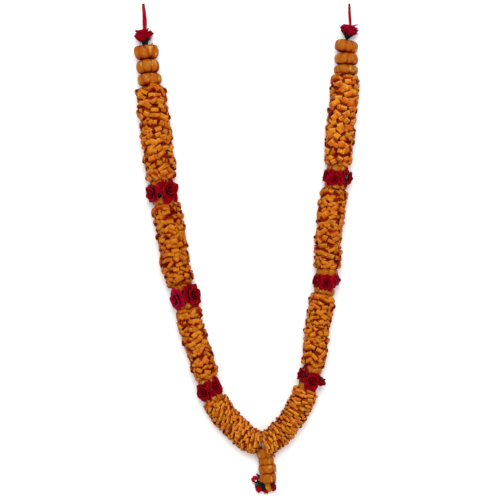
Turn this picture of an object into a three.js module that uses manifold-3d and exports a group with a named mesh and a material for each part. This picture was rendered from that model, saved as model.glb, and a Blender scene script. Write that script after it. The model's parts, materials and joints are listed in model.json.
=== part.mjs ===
// A long festive garland, laid down flat: two strands of curled orange strips meet in a short pendant.
// Each strand is strung on a thread: a fabric rose, three puffs, then four bunches of strip loops
// with a band of red roses between two puffs at each joint. Millimetres, +Z up, +Y towards the ties.
// The origin is on the resting surface, under the first puff of the pendant.

import * as THREE from 'three';
import { mergeVertices } from 'three/addons/utils/BufferGeometryUtils.js';
import Module from 'manifold-3d';

const wasm = await Module();
wasm.setup();

// Thread and clearances
const THREAD_HALF = 1;
const BORE_HALF = 1.4;
const BORE_RADIUS = 1.95;
const THREAD_STEP = 60;
const STRING_GAP = 0.8;
const BUNCH_GAP = 1.2;
const KNOT_RADIUS = 3.2;
const THREAD_SINK = 4;

// Bunches of loops: each loop is a strip bent over, with deep gaps between its neighbours
const LOOP_PITCH = 14.9;
const LOOP_ROOM = 17.8;
const LOOP_DEPTH = 6.5;
const LOOP_SCATTER = 1.6;
const LOOP_LEAN = 0.9;
const END_STEP = 7;

// Shares of a loop's cell: the half length, half width and turn of its raised strip, and its gaps' wander
const STRIP_HALF_LENGTH = 0.37;
const STRIP_HALF_WIDTH = 0.17;
const STRIP_TURN = 0.3;
const GAP_WANDER = 0.15;
const GAP_SCATTER = 0.8;

// Rose bands between the bunches
const CAP_LENGTH = 9;
const HUB_LENGTH = 16;
const SLEEVE_RADIUS = 3.3;
const SLEEVE_GAP = 0.6;
const SEPAL_THICKNESS = 0.9;
const LEAF_COLLAR = 6.5;
const LEAF_INSET = 4.5;
const LEAF_SPREAD = 0.09;
const PRESSED_SHARE = 0.74;
const PRESSED_ROOM = 6;
const PUFF_LOBES = 6;
const SETTLE = 1.6;
const PETALS = 5;

// Calyx of a top rose
const CALYX_HALF_WIDTH = 10;
const CALYX_LENGTH = 10;
const CALYX_SEAT = 7.4;
const CALYX_NOTCH = 0.6;
const CALYX_DIP = 0.72;
const OPEN_MIDDLE = 0.7;

// Tie ribbons
const TIE_WIDTH = 6;
const TIE_THICKNESS = 1;

// Starts of the random draws
const LEFT_SEED = 100;
const RIGHT_SEED = 200;
const PENDANT_SEED = 300;

const COLOURS = {
  strip: { color: '#cf7a1e', roughness: 0.62, metalness: 0 },
  puff: { color: '#d68a2c', roughness: 0.55, metalness: 0 },
  rose: { color: '#9c0a24', roughness: 0.8, metalness: 0 },
  leaf: { color: '#0c3b2a', roughness: 0.7, metalness: 0 },
  ribbon: { color: '#b00a2c', roughness: 0.5, metalness: 0 },
  thread: { color: '#d8cfc0', roughness: 0.9, metalness: 0 },
};

// Routes of the thread, from the top rose down to the knot: x, y and height above the surface
const point = ([x, y, z]) => new THREE.Vector3(x, y, z);
const LEFT_ROUTE = [
  [-215, 751, 20], [-213, 720, 20], [-207, 671, 21.5], [-202, 628, 24.5], [-192, 553, 25],
  [-184, 472, 24], [-169, 398, 23.5], [-158, 329, 23], [-143, 282, 22], [-130, 218, 21],
  [-112, 166, 20.5], [-97, 113, 20], [-80, 77, 20], [-62, 56, 19.5], [-42, 36, 19],
  [-27, 23.5, 19], [-13.5, 18, 18.5], [-6, 16, 18],
].map(point);
const RIGHT_ROUTE = [
  [149, 760, 20], [147.5, 733, 20], [147, 704, 20], [144, 650, 23], [138.5, 596, 23.5],
  [133, 531, 23.5], [130, 495, 23], [120, 434, 22], [114, 369, 22], [111, 310, 21.5],
  [100, 257, 20.5], [92, 196, 20], [84, 139, 20], [71, 103, 19.5], [53, 67, 19.5],
  [37, 45, 19], [21, 29, 19], [6, 18.5, 18.5], [-6, 16, 18],
].map(point);
const PENDANT_ROUTE = [
  [-6, 16, 18], [-2.5, 8.5, 14.5], [0.4, -1, 13.2], [3.2, -16, 13.3], [5.3, -31, 13.6],
  [6.5, -47, 13.6], [6.8, -61, 12.5],
].map(point);

// What is strung on each strand. Distances run along the thread from the top of its route: a ball has its
// start, end and half width, a bunch its start and half width, or null for a start next to the band before
// it, and a rose its direction round the thread in degrees, shift along it, half width and reach.
const LEFT_STRAND = {
  name: 'left',
  route: LEFT_ROUTE,
  topRose: { tilt: 0, halfWidth: 17, reach: 24 },
  balls: [[18, 43, 21.5], [43.6, 68.2, 20], [68.8, 90.6, 20.6]],
  bunches: [[91.4, 27], [null, 25.5], [null, 23], [null, 22]],
  end: 777,
  bands: [
    {
      at: 283.5,
      cap: 20,
      roses: [[38, 0, 16, 28], [-72, 0.5, 14, 29], [-165, 0, 13, 21], [120, 0, 13, 25]],
    },
    {
      at: 475,
      cap: 18.5,
      roses: [[50, -0.5, 16, 28], [-45, 0.5, 15, 27], [-155, 0, 12, 20], [145, 0, 12, 21]],
    },
    {
      at: 650,
      cap: 17,
      roses: [[-50, 0.5, 14, 25], [40, -0.5, 14, 25], [160, 0, 12, 18], [-138, 0, 10, 18]],
    },
  ],
};
const RIGHT_STRAND = {
  name: 'right',
  route: RIGHT_ROUTE,
  topRose: { tilt: -12, halfWidth: 18, reach: 22 },
  balls: [[17, 39.6, 19.8], [40.3, 61.5, 20.6], [62.5, 79.8, 20]],
  bunches: [[80.6, 25.5], [null, 24], [null, 22], [null, 21.6]],
  end: 771,
  bands: [
    {
      at: 265.5,
      cap: 18.5,
      roses: [[-5, 0, 15, 27], [-88, 0, 14, 27], [82, -1, 14, 28], [178, 0, 13, 20]],
    },
    {
      at: 453.5,
      cap: 18,
      roses: [[5, 1, 15, 26], [-85, -1, 14, 27], [85, 0, 12, 26], [180, 0, 12, 19]],
    },
    {
      at: 631,
      cap: 16.5,
      roses: [[2, 1, 14, 25], [-80, 0, 14, 25], [72, -0.5, 10, 25], [178, 0, 12, 17.5]],
    },
  ],
};
const PENDANT_PUFFS = [[9.4, 27, 14], [28, 39.6, 13.6], [40.6, 55.2, 15.2], [56.2, 72, 14.6]];

// The tassel under the pendant: where each bud's root and tip lie
const TASSEL_FOOT = [6.8, -58.8, 12];
const FOOT_RADIUS = 3.6;
const BUDS = [
  { from: [-12.5, -52, 8], to: [-23.5, -44.5, 6.2], halfWidth: 5.8, clearance: 0.5 },
  { from: [-3.5, -60, 9.5], to: [-14.5, -71.5, 7.4], halfWidth: 7.2, clearance: 1 },
  { from: [4.5, -66, 7], to: [2.5, -75.5, 5], halfWidth: 4.6, clearance: 0.5 },
  { from: [15, -57.5, 9], to: [19.5, -70, 6], halfWidth: 5.4, clearance: 2.1 },
];
const STRIP_ROUTE = [[6.4, -57.5, 16.7], [6.5, -64, 16.4], [7, -69.5, 15], [7, -71.5, 12.6]].map(point);
const STRIP_WIDTH = 13;
const STRIP_THICKNESS = 1.2;
const STRIP_STEPS = 5;
const ARM_RADIUS = 1.1;
const ARM_ROOT_RADIUS = 2;
const ARM_SIDES = 6;
const BUD_SIDES = 8;

// The ties, from the middle of each top rose
const TIE_ROUTES = {
  left: [
    [-215.6, 760.2, 20], [-215.9, 769, 18.5], [-216.5, 780, 10], [-217.3, 790, 3],
    [-218.4, 800, 0.8], [-219.6, 812, 0.6],
  ],
  right: [
    [154.6, 768.4, 20], [154.4, 776, 18.5], [154.3, 785, 10], [154.2, 793, 3.5],
    [154, 802, 0.8], [153.9, 812, 0.6],
  ],
};
const TIE_STEPS = 14;

// Shapes: radius as a share of the half width, height as a share of the length
const BALL_PROFILE = [[0, -0.4], [0.58, -0.5], [1, -0.18], [0.98, 0.2], [0.58, 0.5], [0, 0.4]];
const CAP_PROFILE = [[0, -0.42], [0.55, -0.5], [1, -0.12], [0.95, 0.28], [0.55, 0.5], [0, 0.42]];
const ROSE_PROFILE = [
  [0, 0], [0.31, 0.02], [0.46, 0.6], [0.8, 0.75], [1, 0.85], [0.66, 0.74], [0.5, 0.95], [0.28, 0.8], [0, 1],
];
const CALYX_PROFILE = [[0, 0], [0.26, 0], [0.5, 0.45], [1, 0.95], [0.94, 1.04], [0.5, 0.62], [0, 0.58]];
const ROSE_SCALLOPS = [0, 0, 0.04, 0.09, 0.1, 0.06, -0.12, 0, 0];
const BUD_PROFILE = [[0, -0.5], [0.35, -0.42], [0.92, -0.14], [1, 0.08], [0.7, 0.37], [0, 0.5]];

function upsideDown(profile) {
  return profile.map(([radius, height]) => [radius, -height]).reverse();
}

// A profile that ends on the axis, opened there for the thread
function withBore(profile, halfWidth) {
  const bore = BORE_RADIUS / halfWidth;
  const start = [bore, profile[0][1]];
  return [start, ...profile.slice(1, -1), [bore, profile.at(-1)[1]], start];
}

// A small repeatable random sequence between -1 and 1
function scatter(seed) {
  let state = seed * 7919 + 17;
  return () => {
    state = (state * 16807) % 2147483647;
    return (state / 2147483647) * 2 - 1;
  };
}

// Closed triangles of a geometry as a solid that can be joined and cut
function solidOf(geometry) {
  geometry.deleteAttribute('normal');
  geometry.deleteAttribute('uv');
  const merged = mergeVertices(geometry, 1e-3);
  const corners = merged.index.array;
  const kept = [];
  for (let k = 0; k < corners.length; k += 3) {
    const [a, b, c] = corners.slice(k, k + 3);
    if (a !== b && b !== c && c !== a) kept.push(a, b, c);
  }
  const vertProperties = new Float32Array(merged.attributes.position.array);
  return new wasm.Manifold(new wasm.Mesh({ numProp: 3, vertProperties, triVerts: new Uint32Array(kept) }));
}

// The finished mesh of one sub-part
function piece(name, solid, look) {
  const { vertProperties, triVerts } = solid.getMesh();
  const geometry = new THREE.BufferGeometry();
  geometry.setAttribute('position', new THREE.BufferAttribute(vertProperties, 3));
  geometry.setIndex(new THREE.BufferAttribute(triVerts, 1));
  const mesh = new THREE.Mesh(geometry, new THREE.MeshStandardMaterial(look));
  mesh.name = name;
  return mesh;
}

// A thread's place at a distance along it: sideways is to the right seen from above, along follows it
function placeOn(curve, distance) {
  const share = THREE.MathUtils.clamp(distance / curve.getLength(), 0, 1);
  const centre = curve.getPointAt(share);
  const along = curve.getTangentAt(share);
  const up = new THREE.Vector3(0, 0, 1).addScaledVector(along, -along.z).normalize();
  const sideways = new THREE.Vector3().crossVectors(up, along);
  return { centre, along, up, sideways };
}

// A turned shape about its own Z axis, from a profile closed on the axis; bend may move each vertex
function turned(profile, halfWidth, length, sides, bend) {
  const points = profile.map(([radius, height]) => new THREE.Vector2(radius * halfWidth, height * length));
  const geometry = new THREE.LatheGeometry(points, sides).rotateX(Math.PI / 2);
  const position = geometry.attributes.position;
  for (let k = 0; bend && k < position.count; k += 1) {
    const ring = k % profile.length;
    const side = Math.floor(k / profile.length) % sides;
    const angle = (side / sides) * 2 * Math.PI;
    const radius = Math.hypot(position.getX(k), position.getY(k));
    const [newRadius, newHeight] = bend({ ring, side, angle, radius, height: position.getZ(k) });
    position.setXYZ(k, newRadius * Math.sin(angle), -newRadius * Math.cos(angle), newHeight);
  }
  return geometry;
}

// A puff of gathered strips: soft lobes round a pinched middle, one of its sides facing down
function puff(profile, halfWidth, length, seed) {
  const random = scatter(seed);
  const sides = PUFF_LOBES * 2;
  const bulges = Array.from({ length: sides }, (_, k) => (k % 2 ? -0.045 : 0.02) + 0.025 * random());
  const shape = turned(withBore(profile, halfWidth), halfWidth, length, sides, ({ side, radius, height }) => [
    radius > BORE_RADIUS + 0.1 ? radius * (1 + bulges[side]) : radius,
    height,
  ]);
  return shape.rotateZ(Math.PI / sides);
}

// The same place, moved straight along the thread, or looking back up it
function shifted({ centre, along, up, sideways }, distance) {
  return { centre: centre.clone().addScaledVector(along, distance), along, up, sideways };
}

function turnedRound({ centre, along, up, sideways }) {
  return { centre, along: along.clone().negate(), up, sideways: sideways.clone().negate() };
}

function tilted({ centre, along, up, sideways }, degrees) {
  const angle = THREE.MathUtils.degToRad(degrees);
  return {
    centre,
    up,
    along: along.clone().applyAxisAngle(up, angle),
    sideways: sideways.clone().applyAxisAngle(up, angle),
  };
}

// Turned shapes stand on the thread, and what comes near the surface settles flat on it
function onThread(geometry, { centre, along, up, sideways }) {
  geometry.applyMatrix4(new THREE.Matrix4().makeBasis(sideways, up, along).setPosition(centre));
  const position = geometry.attributes.position;
  for (let k = 0; k < position.count; k += 1) {
    if (position.getZ(k) < SETTLE) position.setZ(k, 0);
  }
  return solidOf(geometry);
}

// A bunch of strip loops: cells round the thread, each raised into a bent strip with gaps between
function loopBunch(curve, start, end, halfWidth, seed) {
  const random = scatter(seed);
  const rows = Math.round((end - start) / LOOP_PITCH);
  const columns = Math.round((2 * Math.PI * halfWidth) / LOOP_ROOM);
  const vertices = [];
  const triangles = [];

  const vertex = (row, column, radius) => {
    const distance = start + (row / rows) * (end - start);
    const { centre, up, sideways } = placeOn(curve, distance);
    const angle = (column / columns) * 2 * Math.PI;
    const drop = -Math.cos(angle) * up.z;
    const reach = drop > 0 ? Math.min(radius, centre.z / drop) : radius;
    centre.addScaledVector(sideways, reach * Math.sin(angle)).addScaledVector(up, reach * Math.cos(angle));
    vertices.push(centre);
    return vertices.length - 1;
  };

  const grooves = [];
  for (let row = 0; row <= rows; row += 1) {
    const atEnd = row === 0 || row === rows;
    grooves.push(Array.from({ length: columns }, (_, column) => vertex(
      row + (atEnd ? 0 : GAP_WANDER * random()),
      column + 0.5 * (row % 2) + GAP_WANDER * random(),
      halfWidth - (atEnd ? END_STEP : LOOP_DEPTH) + GAP_SCATTER * random(),
    )));
  }

  for (let row = 0; row < rows; row += 1) {
    for (let column = 0; column < columns; column += 1) {
      const next = (column + 1) % columns;
      const [above, below] = [grooves[row], grooves[row + 1]];
      const foot = [above[column], below[column], below[next], above[next]];
      const isAcross = random() > 0;
      const halfRow = isAcross ? STRIP_HALF_WIDTH : STRIP_HALF_LENGTH;
      const halfColumn = isAcross ? STRIP_HALF_LENGTH : STRIP_HALF_WIDTH;
      const turn = STRIP_TURN * random();
      const height = halfWidth - LOOP_SCATTER * Math.abs(random());
      const lean = LOOP_LEAN * random();
      const top = [[-1, -1], [1, -1], [1, 1], [-1, 1]].map(([toRow, toColumn]) => vertex(
        row + 0.5 + toRow * halfRow - toColumn * turn * halfColumn,
        column + 0.75 + toColumn * halfColumn + toRow * turn * halfRow,
        height + lean * toRow,
      ));
      triangles.push(top[0], top[1], top[2], top[0], top[2], top[3]);
      for (let k = 0; k < 4; k += 1) {
        const other = (k + 1) % 4;
        triangles.push(foot[k], foot[other], top[other], foot[k], top[other], top[k]);
      }
    }
  }

  const startCentre = vertices.push(placeOn(curve, start).centre) - 1;
  const endCentre = vertices.push(placeOn(curve, end).centre) - 1;
  for (let column = 0; column < columns; column += 1) {
    const next = (column + 1) % columns;
    triangles.push(startCentre, grooves[0][column], grooves[0][next]);
    triangles.push(endCentre, grooves[rows][next], grooves[rows][column]);
  }

  const geometry = new THREE.BufferGeometry().setFromPoints(vertices);
  geometry.setIndex(triangles);
  return solidOf(geometry);
}

// A fabric rose that faces along its own Z axis, petals in three layers, its root at the origin
function rose(halfWidth, reach, seed, middle = 1) {
  const random = scatter(seed);
  const sides = PETALS * 2;
  const creases = ROSE_PROFILE.map(() => Array.from({ length: sides }, () => 0.03 * random()));
  const profile = [...ROSE_PROFILE.slice(0, -1), [0, middle]];
  return turned(profile, halfWidth, reach, sides, ({ ring, side, radius, height }) => {
    const wave = side % 2 ? -1 : 1;
    const lift = ring > 2 && ring < 7 ? 0.02 * reach * wave : 0;
    return [radius * (1 + ROSE_SCALLOPS[ring] * wave + creases[ring][side]), height + lift];
  });
}

// A band of roses that look outwards round the thread, joined at their roots round the leaf hub
function roseBand(place, cap, roses, seed) {
  const blooms = roses.map(([azimuth, shift, halfWidth, reach], k) => {
    const { centre, along, up, sideways } = shifted(place, shift);
    const angle = THREE.MathUtils.degToRad(azimuth);
    const outwards = up.clone().multiplyScalar(Math.cos(angle)).addScaledVector(sideways, Math.sin(angle));
    const across = new THREE.Vector3().crossVectors(along, outwards);
    const isPressed = reach < cap + PRESSED_ROOM;
    const geometry = rose(halfWidth, reach, seed + k).scale(1, isPressed ? PRESSED_SHARE : 1, 1);
    geometry.applyMatrix4(new THREE.Matrix4().makeBasis(across, along, outwards).setPosition(centre));
    return solidOf(geometry);
  });
  const sleeve = onThread(
    turned([[0, -1], [1, -1], [1, 1], [0, 1]], SLEEVE_RADIUS + SLEEVE_GAP, HUB_LENGTH, 8),
    place,
  );
  return blooms.reduce((joined, bloom) => joined.add(bloom)).subtract(sleeve);
}

// The green hub of a band: a sleeve on the thread with a star of pointed leaves at each end
function leafHub(halfLength, leafReach) {
  const inner = 1 - SEPAL_THICKNESS / halfLength;
  const profile = [
    [BORE_RADIUS, -1], [LEAF_COLLAR, -1], [LEAF_COLLAR, -inner], [SLEEVE_RADIUS, -inner],
    [SLEEVE_RADIUS, inner], [LEAF_COLLAR, inner], [LEAF_COLLAR, 1], [BORE_RADIUS, 1], [BORE_RADIUS, -1],
  ];
  return turned(profile, 1, halfLength, PETALS * 2, ({ side, radius, height }) => {
    const isTip = side % 2 === 0 && radius > (SLEEVE_RADIUS + LEAF_COLLAR) / 2;
    const spread = Math.sign(height) * LEAF_SPREAD * (leafReach - LEAF_COLLAR);
    return isTip ? [leafReach, height + spread] : [radius, height];
  });
}

// A calyx that holds a rose's root: a cup with five pointed leaves
function calyx(halfWidth, length) {
  const profile = withBore(CALYX_PROFILE, halfWidth);
  return turned(profile, halfWidth, length, PETALS * 2, ({ ring, side, radius, height }) => {
    const isBetweenTips = (ring === 3 || ring === 4) && side % 2;
    return isBetweenTips ? [radius * CALYX_NOTCH, height * CALYX_DIP] : [radius, height];
  });
}

// A leaf stem of the tassel, from its foot to a bud
function arm(from, to, clearance) {
  const axis = new THREE.Vector3().subVectors(to, from);
  const clear = 1 - clearance / axis.length();
  const geometry = new THREE.CylinderGeometry(ARM_ROOT_RADIUS, ARM_RADIUS, axis.length() * clear, ARM_SIDES);
  geometry.applyQuaternion(
    new THREE.Quaternion().setFromUnitVectors(new THREE.Vector3(0, 1, 0), axis.clone().normalize()),
  );
  return solidOf(geometry.translate(...new THREE.Vector3().lerpVectors(from, to, clear / 2).toArray()));
}

// A small bud, egg shaped, from one point towards another
function bud(from, to, halfWidth) {
  const axis = new THREE.Vector3().subVectors(to, from);
  const geometry = turned(BUD_PROFILE, halfWidth, axis.length(), BUD_SIDES);
  const turn = new THREE.Quaternion().setFromUnitVectors(new THREE.Vector3(0, 0, 1), axis.normalize());
  const middle = new THREE.Vector3().lerpVectors(from, to, 0.5);
  return solidOf(geometry.applyQuaternion(turn).translate(...middle.toArray()));
}

// A closed bar through a row of places; its section lists sideways and upward offsets, clockwise
function sweep(places, section) {
  const vertices = places.flatMap(({ centre, up, sideways }) => section.map(([right, high]) => (
    centre.clone().addScaledVector(sideways, right).addScaledVector(up, high)
  )));
  const triangles = [];
  const count = section.length;
  for (let k = 0; k < count; k += 1) {
    const next = (k + 1) % count;
    for (let row = 0; row < places.length - 1; row += 1) {
      const [a, b] = [row * count + k, row * count + next];
      triangles.push(a, a + count, b + count, a, b + count, b);
    }
    const last = (places.length - 1) * count;
    if (k > 0 && next > 0) triangles.push(0, k, next, last, last + next, last + k);
  }
  const geometry = new THREE.BufferGeometry().setFromPoints(vertices);
  geometry.setIndex(triangles);
  return solidOf(geometry);
}

const box = (halfWidth, halfHeight = halfWidth) => [
  [halfWidth, halfHeight], [halfWidth, -halfHeight], [-halfWidth, -halfHeight], [-halfWidth, halfHeight],
];

// The two places where the thread enters and leaves a turned piece
const passage = (place, length) => [shifted(place, -length / 2), shifted(place, length / 2)];

const garland = new THREE.Group();

// Everything on one strand, and the places that its thread passes through
function strand({ name, route, topRose, balls, bunches, end, bands }, seed) {
  const curve = new THREE.CatmullRomCurve3(route);
  const stops = [];

  // The top rose looks out along the strand, its root in a calyx
  const foot = tilted(turnedRound(placeOn(curve, balls[0][0] - STRING_GAP)), topRose.tilt);
  const root = shifted(foot, CALYX_SEAT);
  stops.push(turnedRound(shifted(root, THREAD_SINK)), turnedRound(foot));
  const socketEnd = turnedRound(shifted(root, THREAD_SINK + BORE_HALF - THREAD_HALF));
  const socket = sweep([socketEnd, stops[1]], box(BORE_HALF));
  const petals = rose(topRose.halfWidth, topRose.reach, seed + 60, OPEN_MIDDLE);
  const bloom = onThread(petals, root).subtract(socket);
  const cup = onThread(calyx(CALYX_HALF_WIDTH, CALYX_LENGTH), foot);
  garland.add(piece(`${name}_top_calyx`, cup, COLOURS.leaf));
  garland.add(piece(`${name}_top_rose`, bloom, COLOURS.rose));

  balls.forEach(([from, to, halfWidth], k) => {
    const place = placeOn(curve, (from + to) / 2);
    stops.push(...passage(place, to - from));
    const ball = onThread(puff(BALL_PROFILE, halfWidth, to - from, seed + k), place);
    garland.add(piece(`${name}_ball_${k + 1}`, ball, COLOURS.puff));
  });

  const bandRoom = HUB_LENGTH + 2 * (STRING_GAP + CAP_LENGTH);
  const bunchSpans = bunches.map(([first], k) => [
    first ?? bands[k - 1].at + bandRoom / 2 + BUNCH_GAP,
    k < bands.length ? bands[k].at - bandRoom / 2 - BUNCH_GAP : end,
  ]);
  bunchSpans.forEach(([from, to], k) => {
    const steps = Math.round((to - from) / THREAD_STEP);
    for (let step = 0; step <= steps; step += 1) {
      const isMet = step === 0 || (step === steps && k < bands.length);
      if (!isMet) stops.push(placeOn(curve, from + (step / steps) * (to - from)));
    }
    if (k < bands.length) stops.push(...passage(placeOn(curve, bands[k].at), bandRoom));
  });

  const bore = sweep([...stops, shifted(stops.at(-1), THREAD_SINK)], box(BORE_HALF));
  bunchSpans.forEach(([from, to], k) => {
    const bunch = loopBunch(curve, from, to, bunches[k][1], seed + 10 + k).subtract(bore);
    garland.add(piece(`${name}_loops_${k + 1}`, bunch, COLOURS.strip));
  });

  bands.forEach(({ at, cap, roses }, k) => {
    const place = placeOn(curve, at);
    const capMiddle = HUB_LENGTH / 2 + STRING_GAP + CAP_LENGTH / 2;
    [['upper', -1], ['lower', 1]].forEach(([level, side]) => {
      const profile = side > 0 ? CAP_PROFILE : upsideDown(CAP_PROFILE);
      const shape = puff(profile, cap, CAP_LENGTH, seed + 20 + 2 * k + side);
      const solid = onThread(shape, shifted(place, side * capMiddle));
      garland.add(piece(`${name}_cap_${k + 1}_${level}`, solid, COLOURS.puff));
    });
    const hub = onThread(leafHub(HUB_LENGTH / 2, cap - LEAF_INSET), place);
    garland.add(piece(`${name}_leaves_${k + 1}`, hub, COLOURS.leaf));
    const band = roseBand(place, cap, roses, seed + 30 + 5 * k);
    garland.add(piece(`${name}_roses_${k + 1}`, band, COLOURS.rose));
  });
  return stops;
}

const leftStops = strand(LEFT_STRAND, LEFT_SEED);
const rightStops = strand(RIGHT_STRAND, RIGHT_SEED);

// The pendant: four puffs on the thread
const pendantCurve = new THREE.CatmullRomCurve3(PENDANT_ROUTE);
const pendantStops = PENDANT_PUFFS.flatMap(([from, to, halfWidth], k) => {
  const place = placeOn(pendantCurve, (from + to) / 2);
  const solid = onThread(puff(BALL_PROFILE, halfWidth, to - from, PENDANT_SEED + k), place);
  garland.add(piece(`pendant_puff_${k + 1}`, solid, COLOURS.puff));
  return passage(place, to - from);
});
const tasselFoot = placeOn(pendantCurve, pendantCurve.getLength());

// The thread runs down both strands to a knot, and on through the pendant to its tassel
const knotPlace = placeOn(pendantCurve, 0);
const knot = solidOf(new THREE.IcosahedronGeometry(KNOT_RADIUS, 1).translate(...knotPlace.centre.toArray()));
const atKnot = (stops) => [...stops, { ...stops.at(-1), centre: knotPlace.centre }];
const threads = [
  sweep(atKnot(leftStops), box(THREAD_HALF)),
  sweep(atKnot(rightStops), box(THREAD_HALF)),
  sweep([knotPlace, ...pendantStops, tasselFoot], box(THREAD_HALF)),
];
garland.add(piece('thread', threads.reduce((joined, one) => joined.add(one), knot), COLOURS.thread));

// The tassel: a leafy foot with one arm for each bud, and a folded strip over it
const foot = new THREE.Vector3(...TASSEL_FOOT);
const arms = BUDS.map(({ from, clearance }) => arm(foot, point(from), clearance));
const heart = solidOf(new THREE.IcosahedronGeometry(FOOT_RADIUS, 1).translate(...TASSEL_FOOT));
const socket = sweep([pendantStops.at(-1), shifted(tasselFoot, BORE_HALF - THREAD_HALF)], box(BORE_HALF));
const leafy = arms.reduce((joined, one) => joined.add(one), heart).subtract(socket);
garland.add(piece('tassel_leaves', leafy, COLOURS.leaf));
BUDS.forEach(({ from, to, halfWidth }, k) => {
  garland.add(piece(`tassel_bud_${k + 1}`, bud(point(from), point(to), halfWidth), COLOURS.rose));
});

const strip = new THREE.CatmullRomCurve3(STRIP_ROUTE);
const stripPlaces = Array.from({ length: STRIP_STEPS + 1 }, (_, k) => (
  placeOn(strip, (k / STRIP_STEPS) * strip.getLength())
));
const folded = sweep(stripPlaces, box(STRIP_WIDTH / 2, STRIP_THICKNESS / 2));
garland.add(piece('tassel_strip', folded, COLOURS.strip));

// The ties: flat ribbons out of the top roses, down to the surface
Object.entries(TIE_ROUTES).forEach(([name, route]) => {
  const curve = new THREE.CatmullRomCurve3(route.map(point));
  const places = Array.from({ length: TIE_STEPS + 1 }, (_, k) => (
    placeOn(curve, (k / TIE_STEPS) * curve.getLength())
  ));
  const ribbon = sweep(places, box(TIE_WIDTH / 2, TIE_THICKNESS / 2));
  garland.add(piece(`${name}_tie`, ribbon, COLOURS.ribbon));
});

export default garland;
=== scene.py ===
"""The looks of a long festive garland that lies flat: bunches of curled strip loops, puffs of gathered
strips, bands of cloth roses, a pendant with a tassel, and ribbon ties. Lengths are in metres, +Z is up
and +Y runs from the pendant to the ties."""

import json
import math

import bpy
import numpy as np
from bpy.props import FloatProperty, FloatVectorProperty, IntProperty, PointerProperty
from bpy.types import Operator, Panel, PropertyGroup
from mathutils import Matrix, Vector

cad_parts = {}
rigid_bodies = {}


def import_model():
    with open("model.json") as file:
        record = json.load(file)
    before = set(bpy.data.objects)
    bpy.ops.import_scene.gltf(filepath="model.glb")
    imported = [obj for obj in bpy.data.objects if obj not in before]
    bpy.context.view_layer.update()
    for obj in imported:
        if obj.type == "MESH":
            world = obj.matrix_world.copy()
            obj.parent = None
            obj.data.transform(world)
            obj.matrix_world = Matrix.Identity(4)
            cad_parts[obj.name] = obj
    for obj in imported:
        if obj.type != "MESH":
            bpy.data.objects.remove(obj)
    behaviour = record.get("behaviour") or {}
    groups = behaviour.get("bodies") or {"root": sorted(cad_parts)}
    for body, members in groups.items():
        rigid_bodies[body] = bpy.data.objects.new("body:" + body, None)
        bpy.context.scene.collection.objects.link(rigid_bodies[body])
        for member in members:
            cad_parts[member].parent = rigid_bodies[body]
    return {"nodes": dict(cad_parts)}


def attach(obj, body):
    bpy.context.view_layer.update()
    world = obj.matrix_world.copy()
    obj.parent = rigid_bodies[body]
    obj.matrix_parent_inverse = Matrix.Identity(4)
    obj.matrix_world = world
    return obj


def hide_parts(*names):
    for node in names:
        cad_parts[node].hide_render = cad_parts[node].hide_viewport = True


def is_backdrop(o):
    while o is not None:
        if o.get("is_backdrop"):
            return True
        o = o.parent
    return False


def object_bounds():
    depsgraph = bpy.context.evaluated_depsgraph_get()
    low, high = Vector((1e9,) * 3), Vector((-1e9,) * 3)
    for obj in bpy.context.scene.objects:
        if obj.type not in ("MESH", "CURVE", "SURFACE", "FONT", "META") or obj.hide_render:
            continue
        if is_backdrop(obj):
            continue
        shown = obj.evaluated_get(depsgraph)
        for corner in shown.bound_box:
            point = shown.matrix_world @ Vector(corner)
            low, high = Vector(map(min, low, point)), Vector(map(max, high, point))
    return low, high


bl_info = {
    "name": "Strip-loop garland",
    "version": (1, 0, 0),
    "blender": (4, 5, 0),
    "location": "3D View > Sidebar > Garland",
    "description": "Builds the looks of a strip-loop garland with rose bands round its packed frame",
    "category": "Object",
}

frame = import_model()
CAD_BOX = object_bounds()

MM = 0.001
BODY = "root"
SIDES = ("left", "right")

# The tables down to the view give lengths in millimetres, apart from the loops' unevenness in metres

# Routes of the thread, from each top rose down to the knot, and on through the pendant
LEFT_ROUTE = [
    (-215, 751, 20), (-213, 720, 20), (-207, 671, 21.5), (-202, 628, 24.5), (-192, 553, 25),
    (-184, 472, 24), (-169, 398, 23.5), (-158, 329, 23), (-143, 282, 22), (-130, 218, 21),
    (-112, 166, 20.5), (-97, 113, 20), (-80, 77, 20), (-62, 56, 19.5), (-42, 36, 19),
    (-27, 23.5, 19), (-13.5, 18, 18.5), (-6, 16, 18),
]
RIGHT_ROUTE = [
    (149, 760, 20), (147.5, 733, 20), (147, 704, 20), (144, 650, 23), (138.5, 596, 23.5),
    (133, 531, 23.5), (130, 495, 23), (120, 434, 22), (114, 369, 22), (111, 310, 21.5),
    (100, 257, 20.5), (92, 196, 20), (84, 139, 20), (71, 103, 19.5), (53, 67, 19.5),
    (37, 45, 19), (21, 29, 19), (6, 18.5, 18.5), (-6, 16, 18),
]
PENDANT_ROUTE = [
    (-6, 16, 18), (-2.5, 8.5, 14.5), (0.4, -1, 13.2), (3.2, -16, 13.3), (5.3, -31, 13.6),
    (6.5, -47, 13.6), (6.8, -61, 12.5),
]
# The ribbon ties: routes, widths at four places, the right one's short tail, and where its knot sits
TIE_ROUTES = {
    "left": [
        (-215.6, 760.2, 20), (-215.9, 769, 18.5), (-216.5, 780, 10), (-217.3, 790, 3),
        (-218.4, 800, 0.8), (-219.6, 812, 0.6),
    ],
    "right": [
        (154.6, 768.4, 20), (154.4, 776, 18.5), (154.3, 785, 10), (154.2, 793, 3.5),
        (154, 802, 0.8), (153.9, 812, 0.6),
    ],
}
WIDTH_PLACES = (0, 0.3, 0.65, 1)
TIE_WIDTHS = {"left": (6.2, 8, 7, 5), "right": (4, 5.2, 5, 3.8)}
TIE_TAIL = [(154.8, 767.5, 21), (159, 768.3, 22.5), (164, 770, 22.5), (168.5, 771, 21)]
TAIL_WIDTHS = (3.4, 3, 2.4, 1.2)
TIE_KNOT_PLACE = 42
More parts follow.
